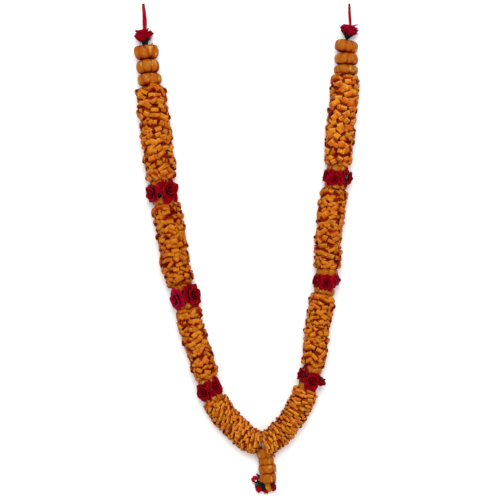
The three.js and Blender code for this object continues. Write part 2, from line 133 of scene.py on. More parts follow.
# Knots: half width, and the radius of what is tied
THREAD_KNOT, BUD_KNOT, TIE_KNOT = (3.6, 1.15), (1.0, 0.5), (1.9, 0.8)
# Narrow strips: the points along each, its first and last half width, and its tint
FOLDED_STRIP = ([(4.3, -54, 16.7), (6.0, -60, 16.4), (8.8, -66, 15), (10.8, -69.8, 12.6)], 5.4, 4.2, 0.4)
SIDE_STRIP = ([(0.5, -53.5, 15), (-3.5, -52.6, 13.5), (-8, -51, 11.5), (-12.5, -50, 9.5)], 2.8, 1.3, 0.1)
FLAP_STRIP = ([(13, -3, 16), (15.5, -4.5, 15.5), (17.6, -6.2, 14), (18.8, -8, 12)], 2.8, 1.0, 0.6)
BALL_STRIP = (
    [(-207.5, 728.5, 26), (-205.4, 731.4, 26.5), (-203.2, 734.4, 26.3), (-201.4, 737.6, 25.5)], 1.7, 1.1, 1.0,
)

# Loops of each bunch from the top down: spacing, span and width against the general ones
LOOP_SHARES = ((1.07, 1.12, 1.06), (0.91, 0.95, 1.02), (0.9, 0.92, 1.0), (0.74, 0.6, 1.0))
# How much redder, or more golden below zero, and how much darker by painted shade the loops of each bunch are
REDNESS = {"left": (0, 0.04, 0.04, 0), "right": (0, 0.03, 0, -0.1)}
DARKNESS = {"left": (0.05, 0.08, 0.06, 0), "right": (0, 0.05, 0.05, 0)}
# How the outer loops lie, also in the last bunches, where they crowd, and how the loops behind them lie.
# Spacing and sink are shares of the general spacing and rise.
OUTER_LOOPS = {"Turning": 0.75, "Sink": 0.88, "Unevenness": 0.0036, "Tilt": 0.5}
CROWDED_LOOPS = {"Turning": 0.35, "Sink": 0.78, "Unevenness": 0.002, "Tilt": 0.3}
INNER_LOOPS = {
    "Spacing": 1.1, "Sink": 1.3, "Turning": 1.2, "Unevenness": 0.001, "Tilt": 0.7, "Span": 1.0, "Width": 1.0,
    "Slant": 0.0, "Redness": 0.0,
}
LAST_LEFT_SLANT = 0.45
# How dark the loops behind are by painted shade, also in the last bunches
INNER_DARKNESS = 0.74
CROWDED_DARKNESS = 0.2
# Random spreads of a loop's measures and of its lean, and the most loops for each square metre
SPAN_SPREAD, WIDTH_SPREAD, HEIGHT_SPREAD = (0.82, 1.2), (0.7, 1.12), (0.88, 1.1)
LEAN_SPREAD = ((-0.45, -1.0, 0.0), (0.45, 1.0, 0.0))
LOOP_DENSITY = 120000.0
# How far within its node each bunch's heart starts, and how deep it lies, as a share of a loop's rise
HEART_STARTS = {"left": (1, 3, 3, 3), "right": (1, 1, 3, 3)}
HEART_DEPTH = 0.9
# A bunch's end: how far its heart runs past its node, its rounded shoulder, how far the loops run past the
# heart, and the heart's rise value, which sets how much painted shade the heart has
OPEN_END = (-3, 9, 2, 0.2)
KNOT_END = (8.5, 5, 0, 0.45)
# How far before its heart a bunch's loops begin, and how far within the node's half width their surface lies
LOOPS_LEAD = 2
LOOPS_DEPTH = 1
# Loop shapes: how square their bend is, how they lean, and how their middle bulges
LOOP_FORMS = ((0.5, 0.0, 0.04), (0.6, 0.16, -0.04), (0.42, -0.14, 0.02), (0.7, 0.05, 0.06))

# How far puffs run past their nodes, pendant puffs beyond that, and caps into the bunches beside them
PUFF_SWELL = 0.7
PENDANT_SWELL = 0.8
CAP_TUCK = 7
SHORT_TUCKS = {"right_cap_1_lower": 4}
# Creases of a puff, how full it is, one that is tilted, and one whose widest place lies nearer one end
BALL_LOBES, CAP_LOBES, PENDANT_LOBES = 8, 9, 5
FULLNESS, PENDANT_FULLNESS = 0.5, 0.3
PUFF_TILTS = {"right_ball_1": -10}
PUFF_LEANS = {"left_ball_1": 0.78}

# Roses of each band: direction round the thread in degrees, shift along it, half width, reach, how pink
BAND_ROSES = {
    "left_roses_1": [
        (36, -1.2, 20.5, 31.5, 0.2), (-64, -1.4, 16, 33, 0.8), (-165, 0, 13, 21, 0), (120, 0, 13, 25, 0),
    ],
    "left_roses_2": [
        (44, 1, 18.5, 30, 0), (-48, 1.5, 17, 31, 1), (-150, 0, 12, 20, 0), (145, 0, 12, 21, 0),
    ],
    "left_roses_3": [
        (-42, 1.5, 16, 27, 0), (42, -2.5, 16, 27, 0), (160, 0, 12, 18, 0), (-138, 0, 10, 18, 0),
    ],
    "right_roses_1": [
        (-6, 3.5, 14, 27, 0.1), (-70, -2.5, 15, 27, 0), (64, -3, 15, 30, 0.5), (178, 0, 13, 20, 0),
    ],
    "right_roses_2": [(6, 1, 15, 26, 0), (-72, -1, 14.5, 27, 0), (66, -5, 12, 28, 1), (180, 0, 12, 19, 0)],
    "right_roses_3": [
        (8, 3, 15, 26, 0), (-62, -4, 15, 26, 0), (74, -0.5, 9, 29, 0.2), (178, 0, 12, 17.5, 0),
    ],
}
# Leaves that show between the roses: direction, shift along the thread, reach and how teal
BAND_LEAVES = {
    "left_roses_1": [(-12, -5, 25, 0.5), (-14, 4, 25, 0.2)],
    "left_roses_2": [(-4, -3, 26.5, 0.2), (-84, -3, 28, 0.8)],
    "left_roses_3": [(4, 0, 25.5, 0.5), (8, -8.5, 22, 0.0)],
    "right_roses_1": [(37, -3.5, 28, 0.85), (28, -8, 25, 0.1)],
    "right_roses_2": [(50, -1, 27.5, 0.8), (46, -9, 25, 0.7)],
    "right_roses_3": [(62, -2, 27.5, 0.65), (46, -7, 24, 0.1), (-24, -4, 25, 0.4)],
}
# Roses that reach less than this are pressed to this share, and ones narrower than this are half closed
PRESSED_REACH = 22
PRESSED_SHARE = 0.74
SMALL_WIDTH = 10
# Leaves that fill a band, and length and width of these, of the shown ones and of the top roses' sepals
FILLING_LEAVES = 7
FILLING_LEAF = (8.5, 5)
SHOWN_LEAF = (7.5, 4.8)
TOP_SEPAL = (13, 5.2)
# Radii of the stems of band roses, of shown leaves and of buds
ROSE_STEM, LEAF_STEM, BUD_STEM = 1.5, 0.9, 1.3
# Where the petals of a band rose and of a top rose begin, as a share of its reach
BAND_ROOT, TOP_ROOT = 0.38, 0.12
# Random spreads in degrees of a band rose's tilt, and of a filling leaf's place and turn
ROSE_TILT, LEAF_PLACE, LEAF_TURN = 9, 15, 50
# Top roses: tilt in degrees, half width and reach; how far the painted rim highlight spreads over their
# petals;
# how far up the calyx they begin, and how far off the first puff the calyx does
TOP_ROSES = {"left": (5, 17, 26), "right": (-13, 17.5, 24)}
TOP_GLOW = {"left": 0.75, "right": 0.5}
ROSE_SEAT = 3.4
CALYX_SEAT = 0.8
# Cups under the top roses, by radius and height, and where their sepals start and at what pitch
CUPS = {
    "left": ([(2.4, -0.8), (4.2, 0.8), (5.3, 2.6), (6.0, 5.4), (6.2, 7.6), (5.2, 8.0)], (5.7, 5.6), 0.74),
    "right": ([(2.1, -0.6), (2.6, 1.0), (3.9, 3.2), (5.7, 5.8), (6.3, 7.6), (5.3, 8.0)], (5.4, 5.8), 0.74),
}

# The tassel: its foot, the knot beside the first bud, and the buds by root, tip and half width
TASSEL_FOOT = (6.8, -58.8, 12)
BUD_KNOT_PLACE = (-15.4, -51, 14.6)
BUDS = [
    ((-11.5, -53, 8.5), (-23, -45.5, 7.2), 7.6),
    ((-5.5, -56.5, 10), (-13.5, -71.5, 8.4), 9),
    ((4, -61.5, 8), (3.2, -75.2, 7), 7.4),
    ((13, -53.5, 9.5), (17.6, -70, 7), 7),
]
# The tassel's leaves: root, tip, width and how teal
TASSEL_LEAVES = [
    ((-3, -49.5, 13), (-15.5, -38, 8), 4.6, 0.0), ((-1, -54, 15.5), (-13, -55, 15), 5.4, 0.1),
    ((-1.2, -54, 16), (-2.6, -69.5, 13), 6, 0.0), ((-10.5, -56, 16), (-18, -59.5, 13), 3.4, 0.95),
    ((-5, -56, 17), (-10.5, -62.5, 17), 3.4, 0.3), ((12, -54, 15), (12.6, -67, 13), 4.4, 0.1),
    ((11, -52.5, 13), (20.5, -48.5, 9), 3.6, 0.2), ((3, -57, 9), (-4, -72, 5), 6, 0.5),
    ((9, -57, 9), (14, -71, 5), 5, 0.4),
]

# The view: straight down on a middle given in millimetres, and 0.9 m wide at this level in metres
VIEW_CENTRE = (-26.1, 365.4)
VIEW_WIDTH = 0.9
VIEW_LEVEL = 0.022
CAMERA_HEIGHT = 3.2
SENSOR_WIDTH = 36
FLOOR_HALF = 8
# Lamps: place, size and power, and the strength of the even light
LAMPS = {"Key": ((-0.15, 1.7, 3.0), 2.3, 92), "Fill": ((0.9, -0.9, 2.0), 1.8, 8)}
SKY_STRENGTH = 0.76

# Meshes: the metres of a UV unit, how softly forms press on the surface, and the angle of a sharp edge
UV_UNIT = 0.01
SOFTNESS = 1.6 * MM
SHARP_ANGLE = 0.9
# Named values at the vertices of each slot's meshes, which its finish reads
VALUES = {
    "strip": ("rise", "tint", "edge", "flank"), "puff": ("crease", "tint"), "ribbon": ("edge",),
    "rose": ("edge", "depth", "tint"), "leaf": ("across", "tint"), "thread": (),
}


# Settings


def length_setting(name, description, default):
    return FloatProperty(name=name, description=description, default=default, unit="LENGTH")


def colour_setting(name, description, default):
    return FloatVectorProperty(name=name, description=description, default=default, subtype="COLOR")


class GarlandSizes(PropertyGroup):
    """Lengths of the small pieces"""

    strip_span: length_setting("Strip span", "Depth of a loop's bent top", 0.0092)
    strip_width: length_setting("Strip width", "Width of the strip that a loop is bent from", 0.0134)
    strip_rise: length_setting("Strip rise", "Height of a loop over the heart of its bunch", 0.0085)
    strip_thickness: length_setting("Strip thickness", "Thickness of a strip", 0.0007)
    loop_spacing: length_setting("Loop spacing", "Least distance between the middles of two loops", 0.0089)
    petal_thickness: length_setting("Petal thickness", "Thickness of a cloth petal", 0.0006)
    leaf_thickness: length_setting("Leaf thickness", "Thickness of a cloth leaf", 0.0006)
    ribbon_thickness: length_setting("Ribbon thickness", "Thickness of a ribbon tie", 0.0007)
    ply_radius: length_setting("Ply radius", "Radius of one ply of the thread", 0.00055)
    seed: IntProperty(name="Seed", description="Start of the random draws", default=7)


class GarlandColours(PropertyGroup):
    """Colours of the finishes"""

    strip_gold: colour_setting("Strip gold", "Golden side of the dyed strips", (0.51, 0.166, 0.003))
    strip_orange: colour_setting("Strip orange", "Redder side of the dyed strips", (0.42, 0.067, 0.0008))
    strip_brown: colour_setting("Strip brown", "Browner loops among the others", (0.21, 0.075, 0.003))
    # Painted highlights: pale patches over the strips
    strip_pale_highlight: colour_setting("Strip pale", "Thinly dyed patches of a strip", (0.74, 0.39, 0.05))
    strip_lit: colour_setting("Strip lit", "Sides of the loops towards the light", (0.95, 0.53, 0.15))
    # Painted shade a little below the loops' tops
    strip_upper_shade: colour_setting("Strip worn", "Upper edges between the loops", (0.38, 0.11, 0.002))
    # Painted shade with lighter grain, on the loops that lie behind
    strip_shaded_grain: colour_setting("Strip fold", "Grain of the loops that lie behind", (0.34, 0.045, 0.001))
    # Painted shade: the redder sides of the loops away from the light, their edges and deep folds, and the
    # puffs' creases
    strip_shade_red: colour_setting("Strip rust", "Redder sides of the loops", (0.24, 0.010, 0.0002))
    # Painted shade deep between the loops and in the puffs' deepest creases
    strip_gap_shade: colour_setting("Strip gap", "Dye that gathers deep between the loops", (0.10, 0.0006, 0.0002))
    puff_gold: colour_setting("Puff gold", "Smooth gathered strips of the puffs", (0.285, 0.099, 0.001))
    puff_orange: colour_setting("Puff orange", "Redder puffs", (0.34, 0.083, 0.001))
    # Painted highlights: pale patches over the puffs
    puff_pale_highlight: colour_setting("Puff pale", "Pale patches of the puffs", (0.60, 0.31, 0.065))
    puff_line: colour_setting("Puff line", "Dark grain of the puffs", (0.22, 0.055, 0.002))
    rose_red: colour_setting("Rose red", "Cloth of the petals", (0.16, 0.0, 0.002))
    # Painted highlight on the petals' rims
    rose_rim_highlight: colour_setting("Rose edge", "Lighter edges of the petals", (0.31, 0.0, 0.012))
    rose_pink: colour_setting("Rose pink", "Brighter, pinker petals", (0.46, 0.0, 0.04))
    # Painted shade deep in the roses, near the petals' roots and in their folds; the ribbons' darker woven
    # edges also use it
    rose_heart: colour_setting("Rose heart", "Darkest folds of the petals", (0.024, 0.0, 0.001))
    leaf_green: colour_setting("Leaf green", "Dark cloth leaves", (0.0008, 0.009, 0.0055))
    leaf_teal: colour_setting("Leaf teal", "Paler teal cloth leaves", (0.003, 0.08, 0.048))
    ribbon_red: colour_setting("Ribbon red", "Satin of the ties", (0.25, 0.0, 0.008))
    thread_white: colour_setting("Thread white", "Cotton thread", (0.8, 0.76, 0.68))
    thread_grime: colour_setting("Thread grime", "Soiled places of the thread", (0.36, 0.27, 0.2))
    thread_line: colour_setting("Thread line", "Shade between the thread's fibres", (0.45, 0.4, 0.33))
    floor: colour_setting("Floor", "Plain studio floor", (0.93, 0.93, 0.93))


# Places along a route


class Route:
    """A smooth curve through points, walked by its length. It bends as a centripetal Catmull-Rom curve."""

    STEPS = 24

    def __init__(self, points):
        points = np.array(points, float) * MM
        points = np.vstack([2 * points[0] - points[1], points, 2 * points[-1] - points[-2]])
        rows = []
        for a, b, c, d in zip(points, points[1:], points[2:], points[3:]):
            before, within, after = (math.sqrt(np.linalg.norm(q - p)) for p, q in ((a, b), (b, c), (c, d)))
            leave = ((b - a) / before - (c - a) / (before + within) + (c - b) / within) * within
            arrive = ((c - b) / within - (d - b) / (within + after) + (d - c) / after) * within
            for t in np.arange(self.STEPS) / self.STEPS:
                rows.append(
                    (2 * t**3 - 3 * t**2 + 1) * b + (t**3 - 2 * t**2 + t) * leave
                    + (3 * t**2 - 2 * t**3) * c + (t**3 - t**2) * arrive
                )
        self.line = np.vstack([rows, points[-2]])
        self.run = np.append(0, np.cumsum(np.linalg.norm(np.diff(self.line, axis=0), axis=1)))
        self.length = self.run[-1]

    def point(self, distance):
        return np.array([np.interp(distance, self.run, self.line[:, k]) for k in range(3)])

    def place(self, distance):
        """The place at a distance, which looks along the route."""
        step = 0.5 * MM
        along = self.point(min(distance + step, self.length)) - self.point(max(distance - step, 0))
        return Place.level(self.point(distance), unit(along))

    def distances(self, points):
        """How far along the route each point lies, and how far from it."""
        gaps = np.linalg.norm(points[:, None, :] - self.line[None, :, :], axis=2)
        return self.run[gaps.argmin(axis=1)], gaps.min(axis=1)


class Place:
    """A point with directions sideways, up and along, in which small forms are laid out."""

    def __init__(self, centre, up, along):
        self.centre, self.sideways, self.up, self.along = centre, np.cross(up, along), up, along

    @classmethod
    def level(cls, centre, along):
        """The place that looks along a direction, with its up direction as near the sky as can be."""
        return cls(centre, unit(np.array([0, 0, 1]) - along * along[2]), along)

    def lay(self, points):
        """Points given by their sideways, up and along lengths."""
        return self.centre + points @ np.array([self.sideways, self.up, self.along])

    def shifted(self, distance):
        return Place(self.centre + distance * self.along, self.up, self.along)

    def turned_round(self):
        return Place(self.centre, self.up, -self.along)

    def tilted(self, degrees):
        """The same place, looking more to its side."""
        return Place(self.centre, self.up, swung(self.along, self.sideways, degrees))

    def facing(self, degrees):
        """The place that looks outwards from the thread, that many degrees from up."""
        return Place(self.centre, self.along, swung(self.up, self.sideways, degrees))

    def spun(self, degrees):
        """The same place, turned about its along direction."""
        return Place(self.centre, swung(self.up, self.sideways, degrees), self.along)


def unit(vector):
    return vector / np.linalg.norm(vector)


def swung(first, second, degrees):
    """The first direction, turned towards the second."""
    angle = math.radians(degrees)
    return first * math.cos(angle) + second * math.sin(angle)


def angles(count):
    """Angles evenly round a circle."""
    return np.linspace(0, math.tau, count, endpoint=False)


def circle(sides):
    """Points round a circle of radius 1, by their sideways, up and along lengths."""
    return np.column_stack([np.sin(angles(sides)), np.cos(angles(sides)), np.zeros(sides)])


ROUTES = {"left": Route(LEFT_ROUTE), "right": Route(RIGHT_ROUTE), "pendant": Route(PENDANT_ROUTE)}


def corners(node):
    """The points of a node of the frame."""
    mesh = frame["nodes"][node].data
    flat = np.zeros(len(mesh.vertices) * 3)
    mesh.vertices.foreach_get("co", flat)
    return flat.reshape(-1, 3)


def span(node, route):
    """Where a node of the frame starts and ends along a straight stretch of its route, and its half width."""
    points = corners(node)
    middle = (points.min(axis=0) + points.max(axis=0)) / 2
    place = route.place(float(route.distances(middle[None, :])[0][0]))
    local = points - place.centre
    heights = local @ place.along
    half_width = np.linalg.norm(local - np.outer(heights, place.along), axis=1).max()
    return place, heights.min(), heights.max(), half_width


def settled(points):
    """Points kept above the surface, pressed together near it without touching it."""
    height = points[:, 2]
    pressed = (height + np.sqrt(height**2 + SOFTNESS**2)) / 2
    return np.column_stack([points[:, :2], np.where(height > 6 * SOFTNESS, height, pressed)])


# Meshes


class Mould:
    """Gathers closed forms into one mesh, with a UV at each corner and its slot's values at each vertex."""

    def __init__(self, slot, values=None):
        self.slot = slot
        self.points, self.faces, self.uvs = [], [], []
        self.values = {name: [] for name in (VALUES[slot] if values is None else values)}
        self.count = 0

    def add(self, points, faces, uvs, **values):
        if volume(points - points.mean(axis=0), faces) < 0:
            faces, uvs = [face[::-1] for face in faces], [face[::-1] for face in uvs]
        self.points.append(points)
        self.faces += [[self.count + k for k in face] for face in faces]
        self.uvs += [uv for face in uvs for uv in face]
        for name, rows in self.values.items():
            rows.append(np.broadcast_to(values[name], len(points)))
        self.count += len(points)

    def piece(self, name, settle=True):
        """The mesh as an object with its slot's finish."""
        points = np.vstack(self.points)
        if settle:
            points = settled(points)
        mesh = bpy.data.meshes.new(name)
        mesh.from_pydata(points.tolist(), [], self.faces)
        layer = mesh.uv_layers.new(name="UVMap")
        layer.data.foreach_set("uv", np.array(self.uvs, np.float32).ravel())
        for key, rows in self.values.items():
            attribute = mesh.attributes.new(key, "FLOAT", "POINT")
            attribute.data.foreach_set("value", np.concatenate(rows).astype(np.float32))
        mesh.materials.append(finish_of(self.slot))
        mesh.shade_smooth()
        mesh.set_sharp_from_angle(angle=SHARP_ANGLE)
        piece = bpy.data.objects.new(name, mesh)
        bpy.context.scene.collection.objects.link(piece)
        return piece

    def dressed(self, name, *nodes):
        """The mesh as a finished piece that stands for these nodes of the frame."""
        return dressed(self.piece(name), self.slot, *nodes)


def volume(points, faces):
    """Six times the volume within closed faces, below zero where they point inwards."""
    a, b, c, d = (points[[(*face, face[-1])[k] for face in faces]] for k in range(4))
    return (np.cross(a, b) * c).sum() + (np.cross(a, c) * d).sum()


def sheet_form(grid, thickness):
    """A closed thin form over a grid of points (rows, columns, 3): its points, faces and corner UVs."""
    rows, columns = grid.shape[:2]
    down, across = np.gradient(grid, axis=0), np.gradient(grid, axis=1)
    normal = np.cross(down, across)
    normal /= np.maximum(np.linalg.norm(normal, axis=2, keepdims=True), 1e-12)
    faces, uvs = [], []
    length = np.linalg.norm(np.diff(grid[:, columns // 2], axis=0), axis=1).sum() / UV_UNIT
    width = np.linalg.norm(np.diff(grid[rows // 2], axis=0), axis=1).sum() / UV_UNIT
    under = rows * columns

    def uv(index):
        index %= under
        return (index // columns / (rows - 1) * length, index % columns / (columns - 1) * width)

    def quad(*face):
        faces.append(face)
        uvs.append([uv(k) for k in face])

    for r in range(rows - 1):
        for c in range(columns - 1):
            a, b = r * columns + c, (r + 1) * columns + c
            quad(a, b, b + 1, a + 1)
            quad(under + a, under + a + 1, under + b + 1, under + b)
    for r in range(rows - 1):
        a, b = r * columns, (r + 1) * columns
        quad(a, under + a, under + b, b)
        a, b = a + columns - 1, b + columns - 1
        quad(a, b, under + b, under + a)
    for c in range(columns - 1):
        quad(c, c + 1, under + c + 1, under + c)
        a = (rows - 1) * columns + c
        quad(a, under + a, under + a + 1, a + 1)
    points = np.concatenate([grid + normal * thickness / 2, grid - normal * thickness / 2])
    return points.reshape(-1, 3), faces, uvs


def tube_form(rings):
    """A closed form through rings of points (rows, sides, 3), with a cap at each end."""
    rows, sides = rings.shape[:2]
    turn = np.linalg.norm(rings[rows // 2] - np.roll(rings[rows // 2], 1, axis=0), axis=1).sum()
    step = np.linalg.norm(np.diff(rings[:, 0], axis=0), axis=1).mean() / UV_UNIT
    side = turn / sides / UV_UNIT
    faces, uvs = [], []
    for r in range(rows - 1):
        for s in range(sides):
            a, b = r * sides + s, r * sides + (s + 1) % sides
            faces.append((a, b, b + sides, a + sides))
            rim = (s * side, r * step), ((s + 1) * side, r * step)
            uvs.append([*rim, ((s + 1) * side, (r + 1) * step), (s * side, (r + 1) * step)])
    start, end = rows * sides, rows * sides + 1
    for s in range(sides):
        faces.append((start, (s + 1) % sides, s))
        faces.append((end, (rows - 1) * sides + s, (rows - 1) * sides + (s + 1) % sides))
        uvs.append([(s * side, -step), ((s + 1) * side, 0.0), (s * side, 0.0)])
        last = (rows - 1) * step
        uvs.append([(s * side, last + step), (s * side, last), ((s + 1) * side, last)])
    points = np.vstack([rings.reshape(-1, 3), rings[0].mean(axis=0), rings[-1].mean(axis=0)])
    return points, faces, uvs


def dressed(piece, slot, *nodes):
    """Hands a finished piece over: it rides on the body and stands for these nodes of the frame."""
    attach(piece, BODY)
    if nodes:
        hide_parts(*nodes)
    return piece


# Node trees, for finishes and for what repeats


def maths(operation, swapped=False):
    """A method that joins a socket and another term by a maths node."""

    def method(self, term):
        terms = (term, self) if swapped else (self, term)
        return self.nodes.add("ShaderNodeMath", dict(enumerate(terms)), operation=operation)

    return method


class Socket:
    """An output of a node, with which Python expressions are written."""

    __add__ = maths("ADD")
    __mul__ = maths("MULTIPLY")
    __pow__ = maths("POWER")
    __sub__ = maths("SUBTRACT")
    __rsub__ = maths("SUBTRACT", swapped=True)

    def __init__(self, nodes, socket):
        self.nodes, self.socket = nodes, socket

    def other(self, name):
        return Socket(self.nodes, self.socket.node.outputs[name])

    def between(self, low, high, first=0.0, last=1.0):
        """Runs smoothly from first to last as this value goes from low to high."""
        ends = {"Value": self, "From Min": low, "From Max": high, "To Min": first, "To Max": last}
        return self.nodes.add("ShaderNodeMapRange", ends, interpolation_type="SMOOTHSTEP")


class Nodes:
    """Makes the nodes of one tree."""

    def __init__(self, tree):
        self.tree = tree

    def add(self, kind, inputs=None, output=0, **settings):
        node = self.tree.nodes.new(kind)
        for name, value in settings.items():
            setattr(node, name, value)
        for name, value in (inputs or {}).items():
            if isinstance(value, Socket):
                self.tree.links.new(value.socket, node.inputs[name])
            else:
                node.inputs[name].default_value = value
        return Socket(self, node.outputs[output]) if len(node.outputs) else node


class Finish(Nodes):
    """A material with one Principled shader."""

    def __init__(self, name, **constants):
        self.material = bpy.data.materials.new(name)
        self.material.use_nodes = True
        super().__init__(self.material.node_tree)
        self.shader = self.tree.nodes["Principled BSDF"]
        for socket, value in constants.items():
            self.shader.inputs[socket.replace("_", " ").title().replace("Ior", "IOR")].default_value = value

    def feed(self, socket, value):
        self.tree.links.new(value.socket, self.shader.inputs[socket])

    def mixed(self, share, first, second):
        first, second = (value if isinstance(value, Socket) else (*value, 1) for value in (first, second))
        return self.add("ShaderNodeMix", {0: share, 6: first, 7: second}, 2, data_type="RGBA")

    def layered(self, colour, *layers):
        """A colour with others over it, each laid on by its share."""
        for share, over in layers:
            colour = self.mixed(share, colour, over)
        return colour

    def attributes(self, *names):
        return [self.add("ShaderNodeAttribute", output="Fac", attribute_name=name) for name in names]

    def stretched(self, scale, seed=None):
        """The UV map's coordinates, stretched, and moved for each piece by its seed value."""
        place = self.add("ShaderNodeUVMap", uv_map="UVMap")
        if seed is not None:
            spot = self.add("ShaderNodeCombineXYZ", {"X": seed * 31.7, "Y": seed * 17.3})
            place = self.add("ShaderNodeVectorMath", {0: place, 1: spot}, operation="ADD")
        return self.add("ShaderNodeMapping", {"Vector": place, "Scale": scale})

    def noise(self, vector, scale, detail):
        values = {"Vector": vector, "Scale": scale, "Detail": detail, "Roughness": 0.55}
        return self.add("ShaderNodeTexNoise", values)

    def waves(self, vector, direction, scale, distortion, detail):
        values = {"Vector": vector, "Scale": scale, "Distortion": distortion, "Detail": detail}
        return self.add("ShaderNodeTexWave", values, "Fac", wave_type="BANDS", bands_direction=direction)

    def in_place(self, scale):
        """Soft noise through space, with that many waves a metre."""
        return self.noise(self.add("ShaderNodeTexCoord", output="Object"), scale, 2.0)

    def done(self, colour, roughness, height, strength, distance):
        """The material, with its colour, its roughness and the height that its surface is raised by."""
        self.feed("Base Color", colour)
        self.feed("Roughness", roughness)
        raised = {"Height": height, "Strength": strength, "Distance": distance}
        self.feed("Normal", self.add("ShaderNodeBump", raised))
        return self.material


def strip_finish(colours):
    """Thin dyed shavings: fine grain along the strip, a tint for each loop, painted highlights, and painted
    shade in the gaps and on the shaded sides.
    """
    finish = Finish("Dyed shaving", metallic=0.0, specular_ior_level=0.04)
    tint, rise, edge, flank = finish.attributes("tint", "rise", "edge", "flank")
    grain = finish.noise(finish.stretched((0.7, 11, 1), tint), 3.0, 4.0)
    cloud = finish.noise(finish.stretched((0.8, 1.6, 1), tint), 1.6, 2.0)
    own = finish.add("ShaderNodeMath", {0: tint * 7.3}, operation="FRACT")
    high = finish.layered(
        colours.strip_gold,
        (tint.between(0.1, 0.85), colours.strip_orange),
        (own.between(0.5, 1.0) * 0.55, colours.strip_brown),
        (grain.between(0.35, 0.7) * 0.42, colours.strip_orange),
        # Painted highlights: pale patches over the loops
        (cloud.between(0.5, 0.68) * 0.45, colours.strip_pale_highlight),
        # Painted highlight on the flank of each loop towards the light, painted shade on the flank away from
        # it
        (flank.between(-0.8, -0.2, 0.85, 0.0), colours.strip_lit),
        (flank.between(0.2, 0.95) * 0.6, colours.strip_shade_red),
        # Painted shade along the edges of each strip's width
        (edge.between(0.82, 1.0) * 0.6, colours.strip_shade_red),
    )
    # Painted shade where a point lies a little below its loop's top, by the rise value
    upper_shaded = finish.mixed(rise.between(0.8, 0.98), colours.strip_upper_shade, high)
    # Painted shade of the deep parts, with lighter grain through it
    fold = finish.mixed(grain.between(0.42, 0.62) * 0.4, colours.strip_shade_red, colours.strip_shaded_grain)
    # Painted shade, darkest where the rise value is lowest, deep between the loops
    deep = finish.mixed(rise.between(0.05, 0.5), colours.strip_gap_shade, fold)
    base = finish.mixed(rise.between(0.5, 0.95), deep, upper_shaded)
    return finish.done(base, grain.between(0.3, 0.7, 0.42, 0.6), grain, 0.35, 0.0004)


def puff_finish(colours):
    """Gathered strips of a puff: grain from pole to pole, pale painted highlights, and painted shade in the
    creases, at the pinched ends and towards one end.
    """
    finish = Finish("Gathered shaving", metallic=0.0, specular_ior_level=0.06)
    tint, crease = finish.attributes("tint", "crease")
    grain = finish.noise(finish.stretched((9, 0.8, 1), tint), 3.0, 4.0)
    cloud = finish.noise(finish.stretched((1.0, 0.7, 1), tint), 1.1, 2.0)
    base = finish.layered(
        colours.puff_gold,
        (tint.between(0.1, 0.9) * 0.4, colours.puff_orange),
        (cloud.between(0.4, 0.65) * 0.5, colours.strip_orange),
        # Painted highlights in pale patches
        (cloud.between(0.3, 0.46, 0.75, 0.0), colours.puff_pale_highlight),
        (grain.between(0.4, 0.72) * 0.5, colours.puff_line),
        # Painted shade in the creases, at the pinched ends and towards one end
        (crease.between(0.08, 0.6) * 0.8, colours.strip_shade_red),
        (crease.between(0.55, 1.1), colours.strip_gap_shade),
    )
    return finish.done(base, grain.between(0.3, 0.7, 0.3, 0.44), grain, 0.25, 0.0004)


def rose_finish(colours):
    """Cloth petals: fine weave, painted highlights on the rims, painted shade deep in the rose and in the
    folds.
    """
    finish = Finish("Rose cloth", metallic=0.0, specular_ior_level=0.02)
    edge, depth, tint = finish.attributes("edge", "depth", "tint")
    weave = finish.waves(finish.stretched((1, 1, 1)), "DIAGONAL", 9.0, 1.5, 2.0)
    crumple = finish.noise(finish.stretched((0.5, 2.0, 1), tint), 3.0, 3.0)
    base = finish.layered(
        colours.rose_red,
        # Painted highlight on the rims, spread further by glow
        (edge.between(0.45, 1.0) * 0.85, colours.rose_rim_highlight),
        (tint.between(0.7, 1.0) * 0.45, colours.rose_pink),
        # Painted shade towards the petals' roots and the inner whorls, and in streaks along the folds
        (depth.between(0.14, 0.7), colours.rose_heart),
        (crumple.between(0.45, 0.7) * 0.45, colours.rose_heart),
    )
    height = crumple * 0.8 + weave * 0.2
    return finish.done(base, crumple.between(0.3, 0.7, 0.5, 0.72), height, 0.3, 0.0005)


def leaf_finish(colours):
    """Cloth leaves: very dark green, some of them teal, with a pressed midrib and side veins."""
    finish = Finish("Leaf cloth", metallic=0.0, specular_ior_level=0.03)
    across, tint = finish.attributes("across", "tint")
    vein = finish.waves(finish.stretched((1, 0.6, 1)), "X", 2.2, 1.0, 1.0)
    rib = across.between(0.0, 0.16, 1.0, 0.0)
    base = finish.layered(
        colours.leaf_green,
        (tint.between(0.6, 0.95), colours.leaf_teal),
        (rib * 0.16 + vein.between(0.8, 1.0) * 0.06, colours.leaf_teal),
    )
    return finish.done(base, vein.between(0.0, 1.0, 0.52, 0.68), rib + vein * 0.3, 0.4, 0.0004)


def ribbon_finish(colours):
    """Red satin: fine threads across, a soft shine along, darker woven edges."""
    finish = Finish("Satin ribbon", metallic=0.0, specular_ior_level=0.03)
    thread = finish.noise(finish.stretched((26, 1.2, 1)), 4.0, 2.0)
    edge, = finish.attributes("edge")
    base = finish.layered(
        colours.ribbon_red,
        (edge.between(0.82, 1.0) * 0.5, colours.rose_heart),
        (thread.between(0.35, 0.7) * 0.35, colours.rose_red),
    )
    return finish.done(base, thread.between(0.3, 0.7, 0.32, 0.46), thread, 0.25, 0.0002)


